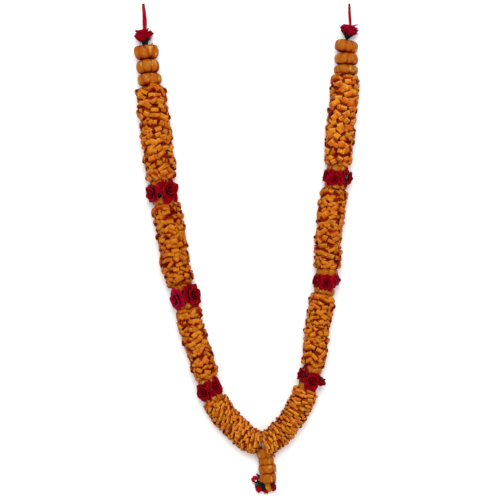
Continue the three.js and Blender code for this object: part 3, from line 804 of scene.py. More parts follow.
def thread_finish(colours):
    """Off-white cotton: soft fibres, a little grime through space."""
    finish = Finish("Cotton thread", metallic=0.0, sheen_weight=0.3)
    fibre = finish.noise(finish.stretched((2, 14, 1)), 3.0, 3.0)
    grime = finish.in_place(180.0)
    base = finish.layered(
        colours.thread_white,
        (grime.between(0.45, 0.75) * 0.5, colours.thread_grime),
        (fibre.between(0.4, 0.8) * 0.3, colours.thread_line),
    )
    return finish.done(base, fibre.between(0.3, 0.7, 0.8, 0.95), fibre, 0.4, 0.0002)


def floor_finish(colours):
    """A plain pale floor, faintly uneven in its shine."""
    finish = Finish("Studio floor", metallic=0.0, base_color=(*colours.floor, 1))
    finish.feed("Roughness", finish.in_place(3.0).between(0.3, 0.7, 0.86, 0.94))
    return finish.material


FINISH_MAKERS = {
    "strip": strip_finish, "puff": puff_finish, "rose": rose_finish, "leaf": leaf_finish,
    "ribbon": ribbon_finish, "thread": thread_finish, "floor": floor_finish,
}
FINISHES = {}


def finish_of(name):
    """The finish of that name, made when it is first asked for."""
    if name not in FINISHES:
        FINISHES[name] = FINISH_MAKERS[name](bpy.context.scene.garland_colours)
    return FINISHES[name]


# Bunches of strip loops, placed by Geometry Nodes over the heart of each bunch


def loop_shape(name, sizes, squareness, lean, crown):
    """One strip bent over into a loop, standing on z = 0 with its width along Y. Both its ends are hollow
    down to the packing in its middle."""
    count, half_width = 7, sizes.strip_width / 2
    turn = np.linspace(-1, 1, count) * math.pi / 2 * 1.04
    sine, cosine = np.sin(turn), np.cos(turn)
    outer = np.column_stack([
        np.sign(sine) * np.abs(sine) ** squareness * sizes.strip_span / 2,
        np.sign(cosine) * np.abs(cosine) ** squareness * sizes.strip_rise,
    ])
    inner = outer * (1 - sizes.strip_thickness / np.array([sizes.strip_span / 2, sizes.strip_rise]))
    packing, crest = inner * 0.97, outer * (1 + crown)
    sides = (-0.4, -1, -1, 0, 1, 1, 0.4)
    walls = (packing, inner, outer, crest, outer, inner, packing)
    rises = (0.45, 0.7, 1, 1, 1, 0.7, 0.45)
    rings = np.array([
        np.column_stack([wall[:, 0] + lean * wall[:, 1], np.full(count, side * half_width), wall[:, 1]])
        for side, wall in zip(sides, walls)
    ])
    points, faces, _ = tube_form(rings)
    run = np.append(0, np.cumsum(np.linalg.norm(np.diff(outer, axis=0), axis=1)))
    marks = [(length / UV_UNIT, side * half_width / UV_UNIT) for side in sides for length in run]
    marks += [(run[count // 2] / UV_UNIT, 0.0)] * 2
    # rise falls towards the loop's feet and inside its hollow ends and sets how much painted shade a point
    # gets; flank, the sine across the arc, sets a painted highlight on one side and painted shade on the
    # other
    rise = np.repeat(rises, count) * np.clip(rings[:, :, 2].ravel() / sizes.strip_rise, 0, 1)
    edge = np.repeat(np.abs(sides), count)
    mould = Mould("strip", ("rise", "edge", "flank"))
    mould.add(
        points, faces, [[marks[k] for k in face] for face in faces], rise=np.append(rise, [0.2, 0.2]),
        edge=np.append(edge, [1.0, 1.0]), flank=np.append(np.tile(sine, count), [0.0, 0.0]),
    )
    return mould.piece(name, settle=False)


# Inputs of the tree that scatters loops, by their kind
LOOP_INPUTS = {
    "Geometry": ("Geometry",), "Collection": ("Loops",), "Int": ("Seed",), "Material": ("Finish",),
    "Float": (
        "Spacing", "Span", "Width", "Sink", "Unevenness", "Tilt", "Turning", "Slant", "Softness", "Darkness",
        "Redness",
    ),
}


def loop_tree():
    """Scatters loops evenly over a surface, turned and tilted at random, and settles them on the floor."""
    tree = bpy.data.node_groups.new("Strip loops", "GeometryNodeTree")
    tree.interface.new_socket("Geometry", in_out="OUTPUT", socket_type="NodeSocketGeometry")
    for kind, names in LOOP_INPUTS.items():
        for name in names:
            tree.interface.new_socket(name, in_out="INPUT", socket_type=f"NodeSocket{kind}")
    nodes = Nodes(tree)
    given = nodes.add("NodeGroupInput")
    seed = given.other("Seed")

    def drawn(low, high, offset, kind="FLOAT"):
        """A random draw for each point."""
        first, result = {"FLOAT": (2, 1), "FLOAT_VECTOR": (0, 0), "INT": (4, 2)}[kind]
        ends = {first: low, first + 1: high, "Seed": seed + offset}
        return nodes.add("FunctionNodeRandomValue", ends, result, data_type=kind)

    def scaled(vector, scale):
        return nodes.add("ShaderNodeVectorMath", {0: vector, "Scale": scale}, operation="SCALE")

    def turned(start, by):
        turns = {"Rotation": start, "Rotate By": by}
        return nodes.add("FunctionNodeRotateRotation", turns, rotation_space="LOCAL")

    def stored(form, name, value, domain):
        """A form with a named value for each part of that domain."""
        inputs = {"Geometry": form, "Name": name, "Value": value}
        return nodes.add("GeometryNodeStoreNamedAttribute", inputs, data_type="FLOAT", domain=domain)

    spread = nodes.add(
        "GeometryNodeDistributePointsOnFaces",
        {"Mesh": given, "Distance Min": given.other("Spacing"), "Density Max": LOOP_DENSITY, "Seed": seed},
        "Points", distribute_method="POISSON",
    )
    normal = spread.other("Normal")
    out = scaled(normal, drawn(-1.0, 0.6, 1) * given.other("Unevenness") - given.other("Sink"))
    moved = nodes.add("GeometryNodeSetPosition", {"Geometry": spread, "Offset": out})
    along = nodes.add("GeometryNodeInputNamedAttribute", {"Name": "along"}, data_type="FLOAT_VECTOR")
    upright = nodes.add("FunctionNodeAlignRotationToVector", {"Vector": normal}, axis="Z")
    aligned = nodes.add(
        "FunctionNodeAlignRotationToVector", {"Rotation": upright, "Vector": along}, axis="X", pivot_axis="Z"
    )
    angle = drawn(-1.0, 1.0, 2) * given.other("Turning") + given.other("Slant")
    spin = nodes.add("FunctionNodeAxisAngleToRotation", {"Axis": (0, 0, 1), "Angle": angle})
    lean = scaled(drawn(*LEAN_SPREAD, 3, "FLOAT_VECTOR"), given.other("Tilt"))
    tipped = turned(turned(aligned, spin), nodes.add("FunctionNodeEulerToRotation", {0: lean}))
    size = nodes.add("ShaderNodeCombineXYZ", {
        "X": drawn(*SPAN_SPREAD, 4) * given.other("Span"),
        "Y": drawn(*WIDTH_SPREAD, 5) * given.other("Width"), "Z": drawn(*HEIGHT_SPREAD, 6),
    })
    shapes = nodes.add("GeometryNodeCollectionInfo", {
        "Collection": given.other("Loops"), "Separate Children": True, "Reset Children": True,
    })
    loops = nodes.add("GeometryNodeInstanceOnPoints", {
        "Points": moved, "Instance": shapes, "Pick Instance": True,
        "Instance Index": drawn(0, len(LOOP_FORMS) - 1, 7, "INT"), "Rotation": tipped, "Scale": size,
    })
    tinted = stored(loops, "tint", drawn(0.0, 1.0, 8) + given.other("Redness"), "INSTANCE")
    real = nodes.add("GeometryNodeRealizeInstances", {"Geometry": tinted})
    rise = nodes.add("GeometryNodeInputNamedAttribute", {"Name": "rise"}, data_type="FLOAT")
    # Darkness lowers the rise value, which gives the loops more painted shade
    shaded = stored(real, "rise", rise * (1 - given.other("Darkness")), "POINT")
    height = nodes.add("ShaderNodeSeparateXYZ", {"Vector": nodes.add("GeometryNodeInputPosition")}, "Z")
    pressed = (height + (height * height + given.other("Softness") ** 2) ** 0.5) * 0.5
    floor = nodes.add("ShaderNodeCombineXYZ", {"X": height.other("X"), "Y": height.other("Y"), "Z": pressed})
    laid = nodes.add("GeometryNodeSetPosition", {"Geometry": shaded, "Position": floor})
    coloured = nodes.add("GeometryNodeSetMaterial", {"Geometry": laid, "Material": given.other("Finish")})
    nodes.add("NodeGroupOutput", {"Geometry": coloured})
    return tree


def grown(name, tree, base, slot, nodes, **values):
    """The plain mesh that a tree makes on a base object, handed over as a piece."""
    maker = bpy.data.objects.new(name, base.data)
    bpy.context.scene.collection.objects.link(maker)
    modifier = maker.modifiers.new("Tree", "NODES")
    modifier.node_group = tree
    for socket in tree.interface.items_tree:
        if socket.in_out == "INPUT" and socket.name in values:
            modifier[socket.identifier] = values[socket.name]
    mesh = bpy.data.meshes.new_from_object(maker.evaluated_get(bpy.context.evaluated_depsgraph_get()))
    maker.modifiers.remove(modifier)
    maker.data = mesh
    mesh.name = name
    return dressed(maker, slot, *nodes)


def heart_form(route, start, end, radius, shoulder):
    """The heart that a bunch's loops stand on: round, following the thread, with rounded ends."""
    sides, apart = 20, 6 * MM
    rounding = [(shoulder * (1 - math.cos(turn)), math.sin(turn)) for turn in np.linspace(0.25, 1.4, 5)]
    stops = [(start + step, share) for step, share in rounding]
    stops += [(distance, 1.0) for distance in np.arange(start + shoulder, end - shoulder, apart)]
    stops += [(end - step, share) for step, share in reversed(rounding)]
    return np.array([route.place(distance).lay(circle(sides) * radius * share) for distance, share in stops])


def skin_object(rings):
    """A passing object that loops are scattered over, with the thread's direction at its points."""
    mould = Mould("strip", ())
    mould.add(*tube_form(rings))
    skin = mould.piece("skin", settle=False)
    middles = rings.mean(axis=1)
    along = np.repeat(np.gradient(middles, axis=0), rings.shape[1], axis=0)
    along = np.vstack([along, middles[1] - middles[0], middles[-1] - middles[-2]])
    attribute = skin.data.attributes.new("along", "FLOAT_VECTOR", "POINT")
    attribute.data.foreach_set("vector", along.astype(np.float32).ravel() * 1000)
    return skin


def make_bunch(side, k, tree, shapes, sizes):
    """The k-th bunch from the top: its heart, dark with painted shade, the loops round it, and loops behind
    them, darker with painted shade.
    """
    node, route, last = f"{side}_loops_{k}", ROUTES[side], k == len(LOOP_SHARES)
    past, shoulder, loops_past, rise = KNOT_END if last else OPEN_END
    run, gap = route.distances(corners(node))
    start, end, half_width = run.min() + HEART_STARTS[side][k - 1] * MM, run.max() + past * MM, gap.max()
    mould = Mould("strip")
    rings = heart_form(route, start, end, half_width - HEART_DEPTH * sizes.strip_rise, shoulder * MM)
    # The heart's low rise value and full edge value paint it in shade
    mould.add(*tube_form(rings), rise=rise, tint=0.9, edge=1.0, flank=0.0)
    mould.dressed(f"{side}_heart_{k}", node)
    skin = skin_object(heart_form(
        route, start - LOOPS_LEAD * MM, end + loops_past * MM, half_width - LOOPS_DEPTH * MM, shoulder * MM
    ))
    seed = sizes.seed + 10 * k + (100 if side == "right" else 0)
    spacing, span_share, width = LOOP_SHARES[k - 1]
    outer = {
        **(CROWDED_LOOPS if last else OUTER_LOOPS), "Spacing": spacing, "Span": span_share, "Width": width,
        "Slant": LAST_LEFT_SLANT if last and side == "left" else 0.0, "Redness": REDNESS[side][k - 1],
        "Darkness": DARKNESS[side][k - 1], "Seed": seed,
    }
    # The loops behind take more painted shade through their Darkness
    inner = {**INNER_LOOPS, "Darkness": CROWDED_DARKNESS if last else INNER_DARKNESS, "Seed": seed + 5}
    for name, values in (("strip", outer), ("inner", inner)):
        values["Spacing"] *= sizes.loop_spacing
        values["Sink"] *= sizes.strip_rise
        grown(
            f"{side}_{name}_loops_{k}", tree, skin, "strip", [node], Loops=shapes,
            Finish=finish_of("strip"), Softness=SOFTNESS, **values,
        )
    bpy.data.objects.remove(skin)


class GARLAND_OT_bunches(Operator):
    """Bunches of curled strip loops round their hearts, dark with painted shade"""

    bl_idname = "garland.bunches"
    bl_label = "Strip bunches"

    def execute(self, context):
        sizes = context.scene.garland_sizes
        tree = loop_tree()
        shapes = bpy.data.collections.new("Loop shapes")
        for k, form in enumerate(LOOP_FORMS):
            shape = loop_shape(f"loop_shape_{k}", sizes, *form)
            context.scene.collection.objects.unlink(shape)
            shapes.objects.link(shape)
        for side in SIDES:
            for k in range(1, len(LOOP_SHARES) + 1):
                make_bunch(side, k, tree, shapes, sizes)
        for shape in list(shapes.objects):
            bpy.data.objects.remove(shape)
        bpy.data.collections.remove(shapes)
        return {"FINISHED"}


# Puffs of gathered strips


def puff_form(place, low, high, half_width, draw, lobes, fullness, lean):
    """A puff pinched at both ends, creased from end to end; gives its rings and how much painted shade each
    point gets.
    """
    rows, columns, pole = 31, 90, 0.06
    crease_depth, step_depth, pleat_depth = 0.12, 0.035, 0.024
    slope = np.linspace(pole, math.pi - pole, rows)[:, None]
    angle = angles(columns)[None, :]
    spots = (np.arange(lobes) + draw.uniform(-0.22, 0.22, lobes)) / lobes * math.tau + draw.uniform(0, 6)
    crease, step = np.zeros((rows, columns)), np.zeros((rows, columns))
    for spot in spots:
        twist = draw.uniform(-0.35, 0.35) * (slope - math.pi / 2)
        away = (angle - spot - twist + math.pi) % math.tau - math.pi
        width = draw.uniform(0.05, 0.1)
        crease += draw.uniform(0.6, 1.0) * np.exp(-(np.abs(away / width) ** 1.3))
        crease += 0.5 * np.exp(-((away / (3.2 * width)) ** 2))
        step += draw.choice([-1, 1]) * np.tanh(away / 0.04) * np.exp(-np.abs(away) / 0.3)
    pull = np.abs(np.cos(slope))
    crease = crease * (0.5 + 0.6 * pull)
    pleats = sum(
        np.sin(angle * waves + draw.uniform(0, 6) + draw.uniform(-1.5, 1.5) * slope) for waves in (11, 19, 31)
    )
    radius = half_width * np.sin(math.pi * (slope / math.pi) ** lean) ** fullness
    radius = radius * (
        1.01 - crease_depth * crease + step_depth * step + pleat_depth * pleats * (0.5 + pull**2)
    )
    middle, half_length = (low + high) / 2, (high - low) / 2
    height = -np.sign(np.cos(slope)) * pull**0.8 * half_length
    height = middle + height * (1 - 0.3 * np.exp(-((radius / (0.3 * half_width)) ** 2)))
    local = np.stack([radius * np.sin(angle), radius * np.cos(angle), height + 0 * angle], axis=2)
    # Painted shade: deep in the creases, at the pinched ends, in the pleats' grooves, and towards the end
    # further along the thread, away from the light
    depth = crease * 0.62 + np.clip(pull - 0.62, 0, 1) * 1.5 - 0.07 * pleats * (0.4 + pull)
    depth = depth + 0.45 * np.clip(-np.cos(slope) * 1.4 - 0.25, 0, 1) ** 1.4
    return place.lay(local), depth


class GARLAND_OT_puffs(Operator):
    """Puffs of gathered strips under the top roses, beside the rose bands and in the pendant"""

    bl_idname = "garland.puffs"
    bl_label = "Puffs"

    def execute(self, context):
        draw = np.random.default_rng(context.scene.garland_sizes.seed)
        nodes = [(f"{side}_ball_{k}", side, BALL_LOBES) for side in SIDES for k in (1, 2, 3)]
        nodes += [
            (f"{side}_cap_{k}_{level}", side, CAP_LOBES)
            for side in SIDES for k in (1, 2, 3) for level in ("upper", "lower")
        ]
        nodes += [(f"pendant_puff_{k}", "pendant", PENDANT_LOBES) for k in (1, 2, 3, 4)]
        for node, route, lobes in nodes:
            mould = Mould("puff")
            place, low, high, half_width = span(node, ROUTES[route])
            place = place.tilted(PUFF_TILTS.get(node, 0))
            tuck = SHORT_TUCKS.get(node, CAP_TUCK)
            low -= (tuck if node.endswith("upper") else PUFF_SWELL) * MM
            high += (tuck if node.endswith("lower") else PUFF_SWELL) * MM
            fullness = FULLNESS
            if route == "pendant":
                low, high, fullness = low - PENDANT_SWELL * MM, high + PENDANT_SWELL * MM, PENDANT_FULLNESS
            rings, depth = puff_form(
                place, low, high, half_width, draw, lobes, fullness, PUFF_LEANS.get(node, 1.0)
            )
            ends = [depth[0].mean(), depth[-1].mean()]
            mould.add(*tube_form(rings), crease=np.append(depth.ravel(), ends), tint=draw.uniform())
            mould.dressed(f"{node}_gathered", node)
        strip = Mould("strip")
        # A rise of 0.78 paints this strip end in the shade colours
        add_strip(strip, *BALL_STRIP, context.scene.garland_sizes.strip_thickness, rise=0.78)
        strip.dressed("left_ball_strip_end")
        return {"FINISHED"}


# Cloth roses and their leaves


def petal_grid(
    angle, half_angle, root, tip, curl, ruffle, draw, bulge=0.8, folds=0.0, breadth=0.05, closing=0.0
):
    """A petal round the rose's axis: a grid of points, and how far up each row lies."""
    rows, columns, widest, rolling = 9, 11, 0.55, 0.62
    up = 1 - (1 - np.linspace(0, 1, rows)[:, None]) ** 1.4
    across = np.linspace(-1, 1, columns)[None, :]
    outline = np.where(
        up < widest, 0.42 + 0.58 * np.sin(up / widest * math.pi / 2),
        np.maximum(1 - (np.maximum(up - widest, 0) / 0.47) ** 2.6, breadth) ** 0.5,
    )
    rolled = curl * np.maximum(up - rolling, 0) / (1 - rolling)
    out = rolled**1.5 * (1 - 0.25 * across**2)
    radius = root[0] + (tip[0] - root[0]) * up**bulge + out * 0.34 * tip[0]
    radius = radius * (1 - closing * np.clip((up - 0.4) / 0.6, 0, 1) ** 2)
    height = root[1] + (tip[1] - root[1]) * (1 - (1 - up) ** 1.3) - rolled**2 * 0.3 * tip[0]
    phase, wave = draw.uniform(0, math.tau), draw.uniform(1.4, 2.4)
    flutter = ruffle * tip[0] * up**2
    radius = radius + flutter * np.sin(wave * across * 2 + phase) + across * 0.06 * tip[0] * up
    height = height + flutter * np.cos(wave * across * 1.7 + phase)
    radius = radius + folds * tip[0] * up * np.sin(across * 6.5 + phase)
    height = height - (0.1 + folds) * (tip[1] - root[1]) * np.abs(across) ** 2.4 * up
    turn = angle + across * half_angle * outline
    return np.stack([radius * np.sin(turn), radius * np.cos(turn), height + 0 * turn], axis=2), up


# Whorls of a rose: petals, half angle, share of the half width and of the reach, curl and ruffle
OPEN_WHORLS = (
    (2, 2.4, 0.16, 1.00, 0.0, 0.02), (3, 1.5, 0.38, 0.98, 0.35, 0.05), (4, 1.15, 0.68, 0.93, 0.9, 0.07),
    (5, 0.92, 0.96, 0.76, 1.0, 0.08),
)
FAN_WHORLS = (
    (2, 2.2, 0.22, 0.92, 0.0, 0.05), (3, 1.4, 0.46, 1.00, 0.1, 0.07), (4, 1.15, 0.70, 1.00, 0.1, 0.08),
    (5, 0.95, 0.90, 0.88, 0.1, 0.07), (5, 0.9, 1.02, 0.68, 0.1, 0.06),
)
BUD_WHORLS = (
    (2, 2.4, 0.3, 0.98, 0.0, 0.02), (3, 1.6, 0.62, 1.0, 0.0, 0.04), (3, 1.35, 0.88, 0.95, 0.0, 0.04),
    (4, 1.05, 1.04, 0.8, 0.0, 0.05),
)
# How small band roses, top roses, the left one's loose petal and the buds differ from open roses
SMALL_ROSE = {"whorls": BUD_WHORLS, "bulge": 0.5, "breadth": 0.35, "closing": 0.15}
TOP_ROSE = {"whorls": FAN_WHORLS, "bulge": 0.66, "shade": 0.45, "folds": 0.12, "breadth": 0.4}
LOOSE_PETAL = {
    "whorls": ((1, 0.6, 1.1, 0.6, 0.1, 0.05),), "bulge": 0.4, "shade": 0.42, "glow": 0.7, "first": 1.75,
    "tints": (0.6, 0.9), "folds": 0.1, "breadth": 0.3, "closing": 0.05,
}
BUD_ROSE = {
    "whorls": BUD_WHORLS, "bulge": 0.42, "shade": 0.4, "glow": 0.6, "folds": 0.05, "breadth": 0.3,
    "closing": 0.4,
}


def add_rose(
    mould, place, half_width, reach, root_share, thickness, draw, squeeze=1.0, whorls=OPEN_WHORLS,
    shade=1.05, glow=0.0, first=None, tints=(0, 1), **form,
):
    """A rose that looks along its place: whorls of petals from the tight bud out to the curled rim."""
    lean = draw.uniform(-0.045, 0.045, 2) * half_width
    for ring, (count, half_angle, share, height, curl, ruffle) in enumerate(whorls):
        start = draw.uniform(0, math.tau) if first is None else first
        for k in range(count):
            angle = start + (k + draw.uniform(-0.22, 0.22)) * math.tau / count
            out = half_width * share * draw.uniform(0.86, 1.04)
            tip = out, reach * height * draw.uniform(0.9, 1.02)
            root = 0.05 * half_width + 0.1 * out, reach * (root_share + 0.02 * (4 - ring))
            grid, up = petal_grid(
                angle, half_angle * draw.uniform(0.92, 1.08), root, tip, curl, ruffle, draw, **form
            )
            grid[:, :, 0] += lean[0] * (3 - ring)
            grid[:, :, 1] = squeeze * (grid[:, :, 1] + lean[1] * (3 - ring))
            across = np.abs(np.linspace(-1, 1, grid.shape[1]))[None, :]
            # rim takes the painted rim highlight; depth, highest near the roots of the inner petals, takes
            # the painted shade
            rim = np.maximum(np.clip((up - 0.72) / 0.28, 0, 1), across**5 * np.clip(up * 2, 0, 1))
            depth = np.clip(shade - up - 0.04 * ring, 0, 1) + 0 * across
            mould.add(
                *sheet_form(place.lay(grid), thickness), edge=np.tile(rim.ravel(), 2) + glow,
                depth=np.tile(depth.ravel(), 2), tint=draw.uniform(*tints),
            )


def add_leaf(mould, place, length, width, start, pitch, bend, thickness, tint, rows=8):
    """A pointed leaf that leaves at a pitch between its place's up and along directions, and bends on."""
    columns = 5
    share = np.linspace(0, 1, rows)[:, None]
    side = np.linspace(-1, 1, columns)[None, :]
    half = width / 2 * np.sin(math.pi * np.clip(share * 0.93 + 0.07, 0, 1) ** 0.8) ** 0.9
    half = half * (1 + 0.12 * np.abs(((share * 5) % 1) - 0.5)) + 0.12 * MM
    turn = pitch + bend * share
    forward = length * np.cumsum(np.cos(turn), axis=0) / rows
    lift = length * np.cumsum(np.sin(turn), axis=0) / rows
    fold = 0.22 * half * np.abs(side)
    local = np.stack([side * half, start[0] + forward + 0 * side, start[1] + lift + fold], axis=2)
    across = np.abs(side) + 0 * share
    mould.add(*sheet_form(place.lay(local), thickness), across=np.tile(across.ravel(), 2), tint=tint)


def add_sepals(mould, place, count, length, width, start, pitch, bend, sizes, draw, teal=0.15, turn=None):
    """A ring of sepals round a rose's root."""
    turn = draw.uniform(0, 360) if turn is None else turn
    for k in range(count):
        spoke = place.spun(turn + 360 / count * k + draw.uniform(-8, 8))
        tint = draw.uniform(0.7, 1.0) if draw.uniform() < teal else draw.uniform(0, 0.5)
        add_leaf(
            mould, spoke, length * draw.uniform(0.85, 1.15), width, start, pitch + draw.uniform(-0.1, 0.1),
            bend, sizes.leaf_thickness, tint,
        )


def add_stem(mould, start, end, radius):
    """A wrapped stem between two points."""
    axis = unit(end - start)
    side = unit(np.cross(axis, [0.3, 0.2, 1.0]))
    other = np.cross(axis, side)
    rows, sides = 6, 8
    ring = np.outer(np.cos(angles(sides)), side) + np.outer(np.sin(angles(sides)), other)
    rings = [
        start + share * (end - start) + radius * (1 + 0.08 * math.sin(share * 19)) * ring
        for share in np.linspace(0, 1, rows)
    ]
    mould.add(*tube_form(np.array(rings)), across=0.6, tint=0.1)


def add_cup(mould, place, profile):
    """A fluted cup round its place's axis, through pairs of a radius and a height in millimetres."""
    sides, flutes = 20, 5
    flute = 1 + 0.07 * np.cos(flutes * angles(sides))[:, None]
    rings = [
        place.lay((circle(sides) * radius * flute + np.array([0, 0, height])) * MM)
        for radius, height in profile
    ]
    mould.add(*tube_form(np.array(rings)), across=0.6, tint=0.1)


def add_long_leaf(mould, root, tip, width, thickness, tint):
    """A leaf from its root to its tip, its upper side towards the sky."""
    root, tip = np.array(root) * MM, np.array(tip) * MM
    ahead = unit(tip - root)
    place = Place(root, ahead, Place.level(root, ahead).up)
    length = float(np.linalg.norm(tip - root))
    add_leaf(mould, place, length, width * MM, (0.0, 0.0), 0.2, -0.4, thickness, tint, rows=10)


class GARLAND_OT_rose_bands(Operator):
    """Bands of cloth roses with their sepals and leaves"""

    bl_idname = "garland.rose_bands"
    bl_label = "Rose bands"

    def execute(self, context):
        sizes = context.scene.garland_sizes
        draw = np.random.default_rng(sizes.seed + 1)
        for node, roses in BAND_ROSES.items():
            side, _, number = node.split("_")
            band = span(f"{side}_leaves_{number}", ROUTES[side])[0]
            petals, leaves = Mould("rose"), Mould("leaf")
            for azimuth, shift, half_width, reach, pink in roses:
                tilt = draw.uniform(-ROSE_TILT, ROSE_TILT)
                place = band.shifted(shift * MM).facing(azimuth).tilted(tilt)
                squeeze = PRESSED_SHARE if reach < PRESSED_REACH else 1.0
                form = SMALL_ROSE if half_width < SMALL_WIDTH else {}
                width, height = half_width * MM, reach * MM
                add_rose(
                    petals, place, width, height, BAND_ROOT, sizes.petal_thickness, draw, squeeze,
                    tints=(0.85 * pink, 0.72 + 0.28 * pink), **form,
                )
                start = 0.15 * width, 0.36 * height
                add_sepals(leaves, place, 6, 0.9 * width, 0.42 * width, start, 0.35, 0.2, sizes, draw)
                add_stem(leaves, place.centre, place.shifted(0.42 * height).centre, ROSE_STEM * MM)
            level = 0.6 * float(np.mean([rose[3] for rose in roses])) * MM
            for k in range(FILLING_LEAVES):
                spoke = band.facing(360 / FILLING_LEAVES * k + draw.uniform(-LEAF_PLACE, LEAF_PLACE))
                turn = draw.choice([0, 180]) + draw.uniform(-LEAF_TURN, LEAF_TURN)
                add_leaf(
                    leaves, spoke.spun(turn), FILLING_LEAF[0] * MM, FILLING_LEAF[1] * MM, (0.5 * MM, level),
                    0.3, 0.5, sizes.leaf_thickness, draw.uniform(0.4, 1.0),
                )
            for azimuth, shift, reach, tint in BAND_LEAVES[node]:
                spoke = band.shifted(shift * MM).facing(azimuth)
                add_leaf(
                    leaves, spoke.spun(draw.uniform(20, 70)), SHOWN_LEAF[0] * MM, SHOWN_LEAF[1] * MM,
                    (-3.5 * MM, (reach - 2) * MM), 0.3, -0.2, sizes.leaf_thickness, tint,
                )
                add_stem(leaves, spoke.centre, spoke.shifted((reach - 1.2) * MM).centre, LEAF_STEM * MM)
            petals.dressed(f"{side}_band_petals_{number}", node)
            leaves.dressed(f"{side}_band_leaves_{number}", f"{side}_leaves_{number}")
        return {"FINISHED"}


class GARLAND_OT_top_roses(Operator):
    """The rose and calyx at the top of each strand"""

    bl_idname = "garland.top_roses"
    bl_label = "Top roses"

    def execute(self, context):
        sizes = context.scene.garland_sizes
        draw = np.random.default_rng(sizes.seed + 2)
        for side, (tilt, half_width, reach) in TOP_ROSES.items():
            ball, low = span(f"{side}_ball_1", ROUTES[side])[:2]
            foot = ball.shifted(low - CALYX_SEAT * MM).turned_round().tilted(tilt)
            root = foot.shifted(ROSE_SEAT * MM)
            size = half_width * MM, reach * MM
            petals, leaves = Mould("rose"), Mould("leaf")
            add_rose(
                petals, root, *size, TOP_ROOT, sizes.petal_thickness, draw, glow=TOP_GLOW[side], **TOP_ROSE
            )
            if side == "left":
                add_rose(petals, root, *size, 0.0, sizes.petal_thickness, draw, **LOOSE_PETAL)
            profile, (out, level), pitch = CUPS[side]
            add_sepals(
                leaves, foot, 5, TOP_SEPAL[0] * MM, TOP_SEPAL[1] * MM, (out * MM, level * MM), pitch, 0.1,
                sizes, draw, teal=0.0, turn=36,
            )
            add_cup(leaves, foot, profile)
            petals.dressed(f"{side}_top_petals", f"{side}_top_rose")
            leaves.dressed(f"{side}_top_sepals", f"{side}_top_calyx")
        return {"FINISHED"}


# Thread, knot, tassel and ties


def plies(route, start, end, radius):
    """Three plies twisted round each other along a route, as rings of points for each ply."""
    sides, turns_per_metre, step, apart = 6, 160, 1.6 * MM, 1.1
    for ply in range(3):
        rings = []
        for distance in np.arange(start, end, step):
            twist = math.tau * (distance * turns_per_metre + ply / 3)
            offset = np.array([math.sin(twist), math.cos(twist), 0]) * radius * apart
            rings.append(route.place(distance).lay(circle(sides) * radius + offset))
        yield np.array(rings)


def knot_form(knot, half_width, radius):
    """A closed overhand knot laid at a place, by its half width and the radius of what is tied."""
    rows, sides = 72, 8
    turn, around = angles(rows), angles(sides)[None, :, None]
    curl = knot.lay(half_width * MM / 3 * np.column_stack([
        np.sin(turn) + 2 * np.sin(2 * turn), np.cos(turn) - 2 * np.cos(2 * turn), -1.6 * np.sin(3 * turn)
    ]))
    ahead = np.roll(curl, -1, axis=0) - np.roll(curl, 1, axis=0)
    ahead /= np.linalg.norm(ahead, axis=1, keepdims=True)
    side = np.cross(ahead, knot.centre - curl)
    side /= np.linalg.norm(side, axis=1, keepdims=True)
    other = np.cross(ahead, side)
    ring = np.cos(around) * side[:, None] + np.sin(around) * other[:, None]
    points = (curl[:, None] + ring * (radius * MM)).reshape(-1, 3)
    faces, uvs = [], []
    for r in range(rows):
        for s in range(sides):
            a, b = r * sides + s, r * sides + (s + 1) % sides
            faces.append((a, b, (b + sides) % len(points), (a + sides) % len(points)))
            square = (s, r), (s + 1, r), (s + 1, r + 1), (s, r + 1)
            uvs.append([(across / 8, row / 8) for across, row in square])
    return points, faces, uvs


class GARLAND_OT_thread(Operator):
    """The twisted thread through every piece, and its knot over the pendant"""

    bl_idname = "garland.thread"
    bl_label = "Thread"

    def execute(self, context):
        radius = context.scene.garland_sizes.ply_radius
        mould = Mould("thread")
        for name, route in ROUTES.items():
            start = 2 * MM if name == "pendant" else 0.0
            for rings in plies(route, start, route.length - 1 * MM, radius):
                mould.add(*tube_form(rings))
        mould.add(*knot_form(ROUTES["pendant"].place(0.0), *THREAD_KNOT))
        bud = Place(np.array(BUD_KNOT_PLACE) * MM, *np.eye(3)[1:])
        mould.add(*knot_form(bud, *BUD_KNOT))
        mould.dressed("twisted_thread", "thread")
        return {"FINISHED"}


def add_band(mould, route, distances, halves, lifts, thickness, **values):
    """A thin form along a route, by its half width and the heights across it at each distance."""
    across = np.linspace(-1, 1, len(lifts[0]))
    grid = np.array([
        route.place(distance).lay(np.column_stack([across * half, lift, 0 * across]))
        for distance, half, lift in zip(distances, halves, lifts)
    ])
    edge = np.tile(np.abs(across), 2 * len(grid))
    mould.add(*sheet_form(grid, thickness), edge=edge, **values)


def add_strip(mould, points, first, last, tint, thickness, rise=1.0):
    """A narrow strip along points, gently folded lengthwise, from its first half width to its last."""
    rows, columns = 14, 9
    route, shares = Route(points), np.linspace(0, 1, rows)
    fold = 0.9 * MM * np.cos(np.linspace(-1, 1, columns) * 3.4 + 0.5)
    halves = (first + (last - first) * shares) * MM
    lifts = fold * (0.5 + shares[:, None])
    distances = shares * route.length
    add_band(mould, route, distances, halves, lifts, thickness, rise=rise, tint=tint, flank=0.0)


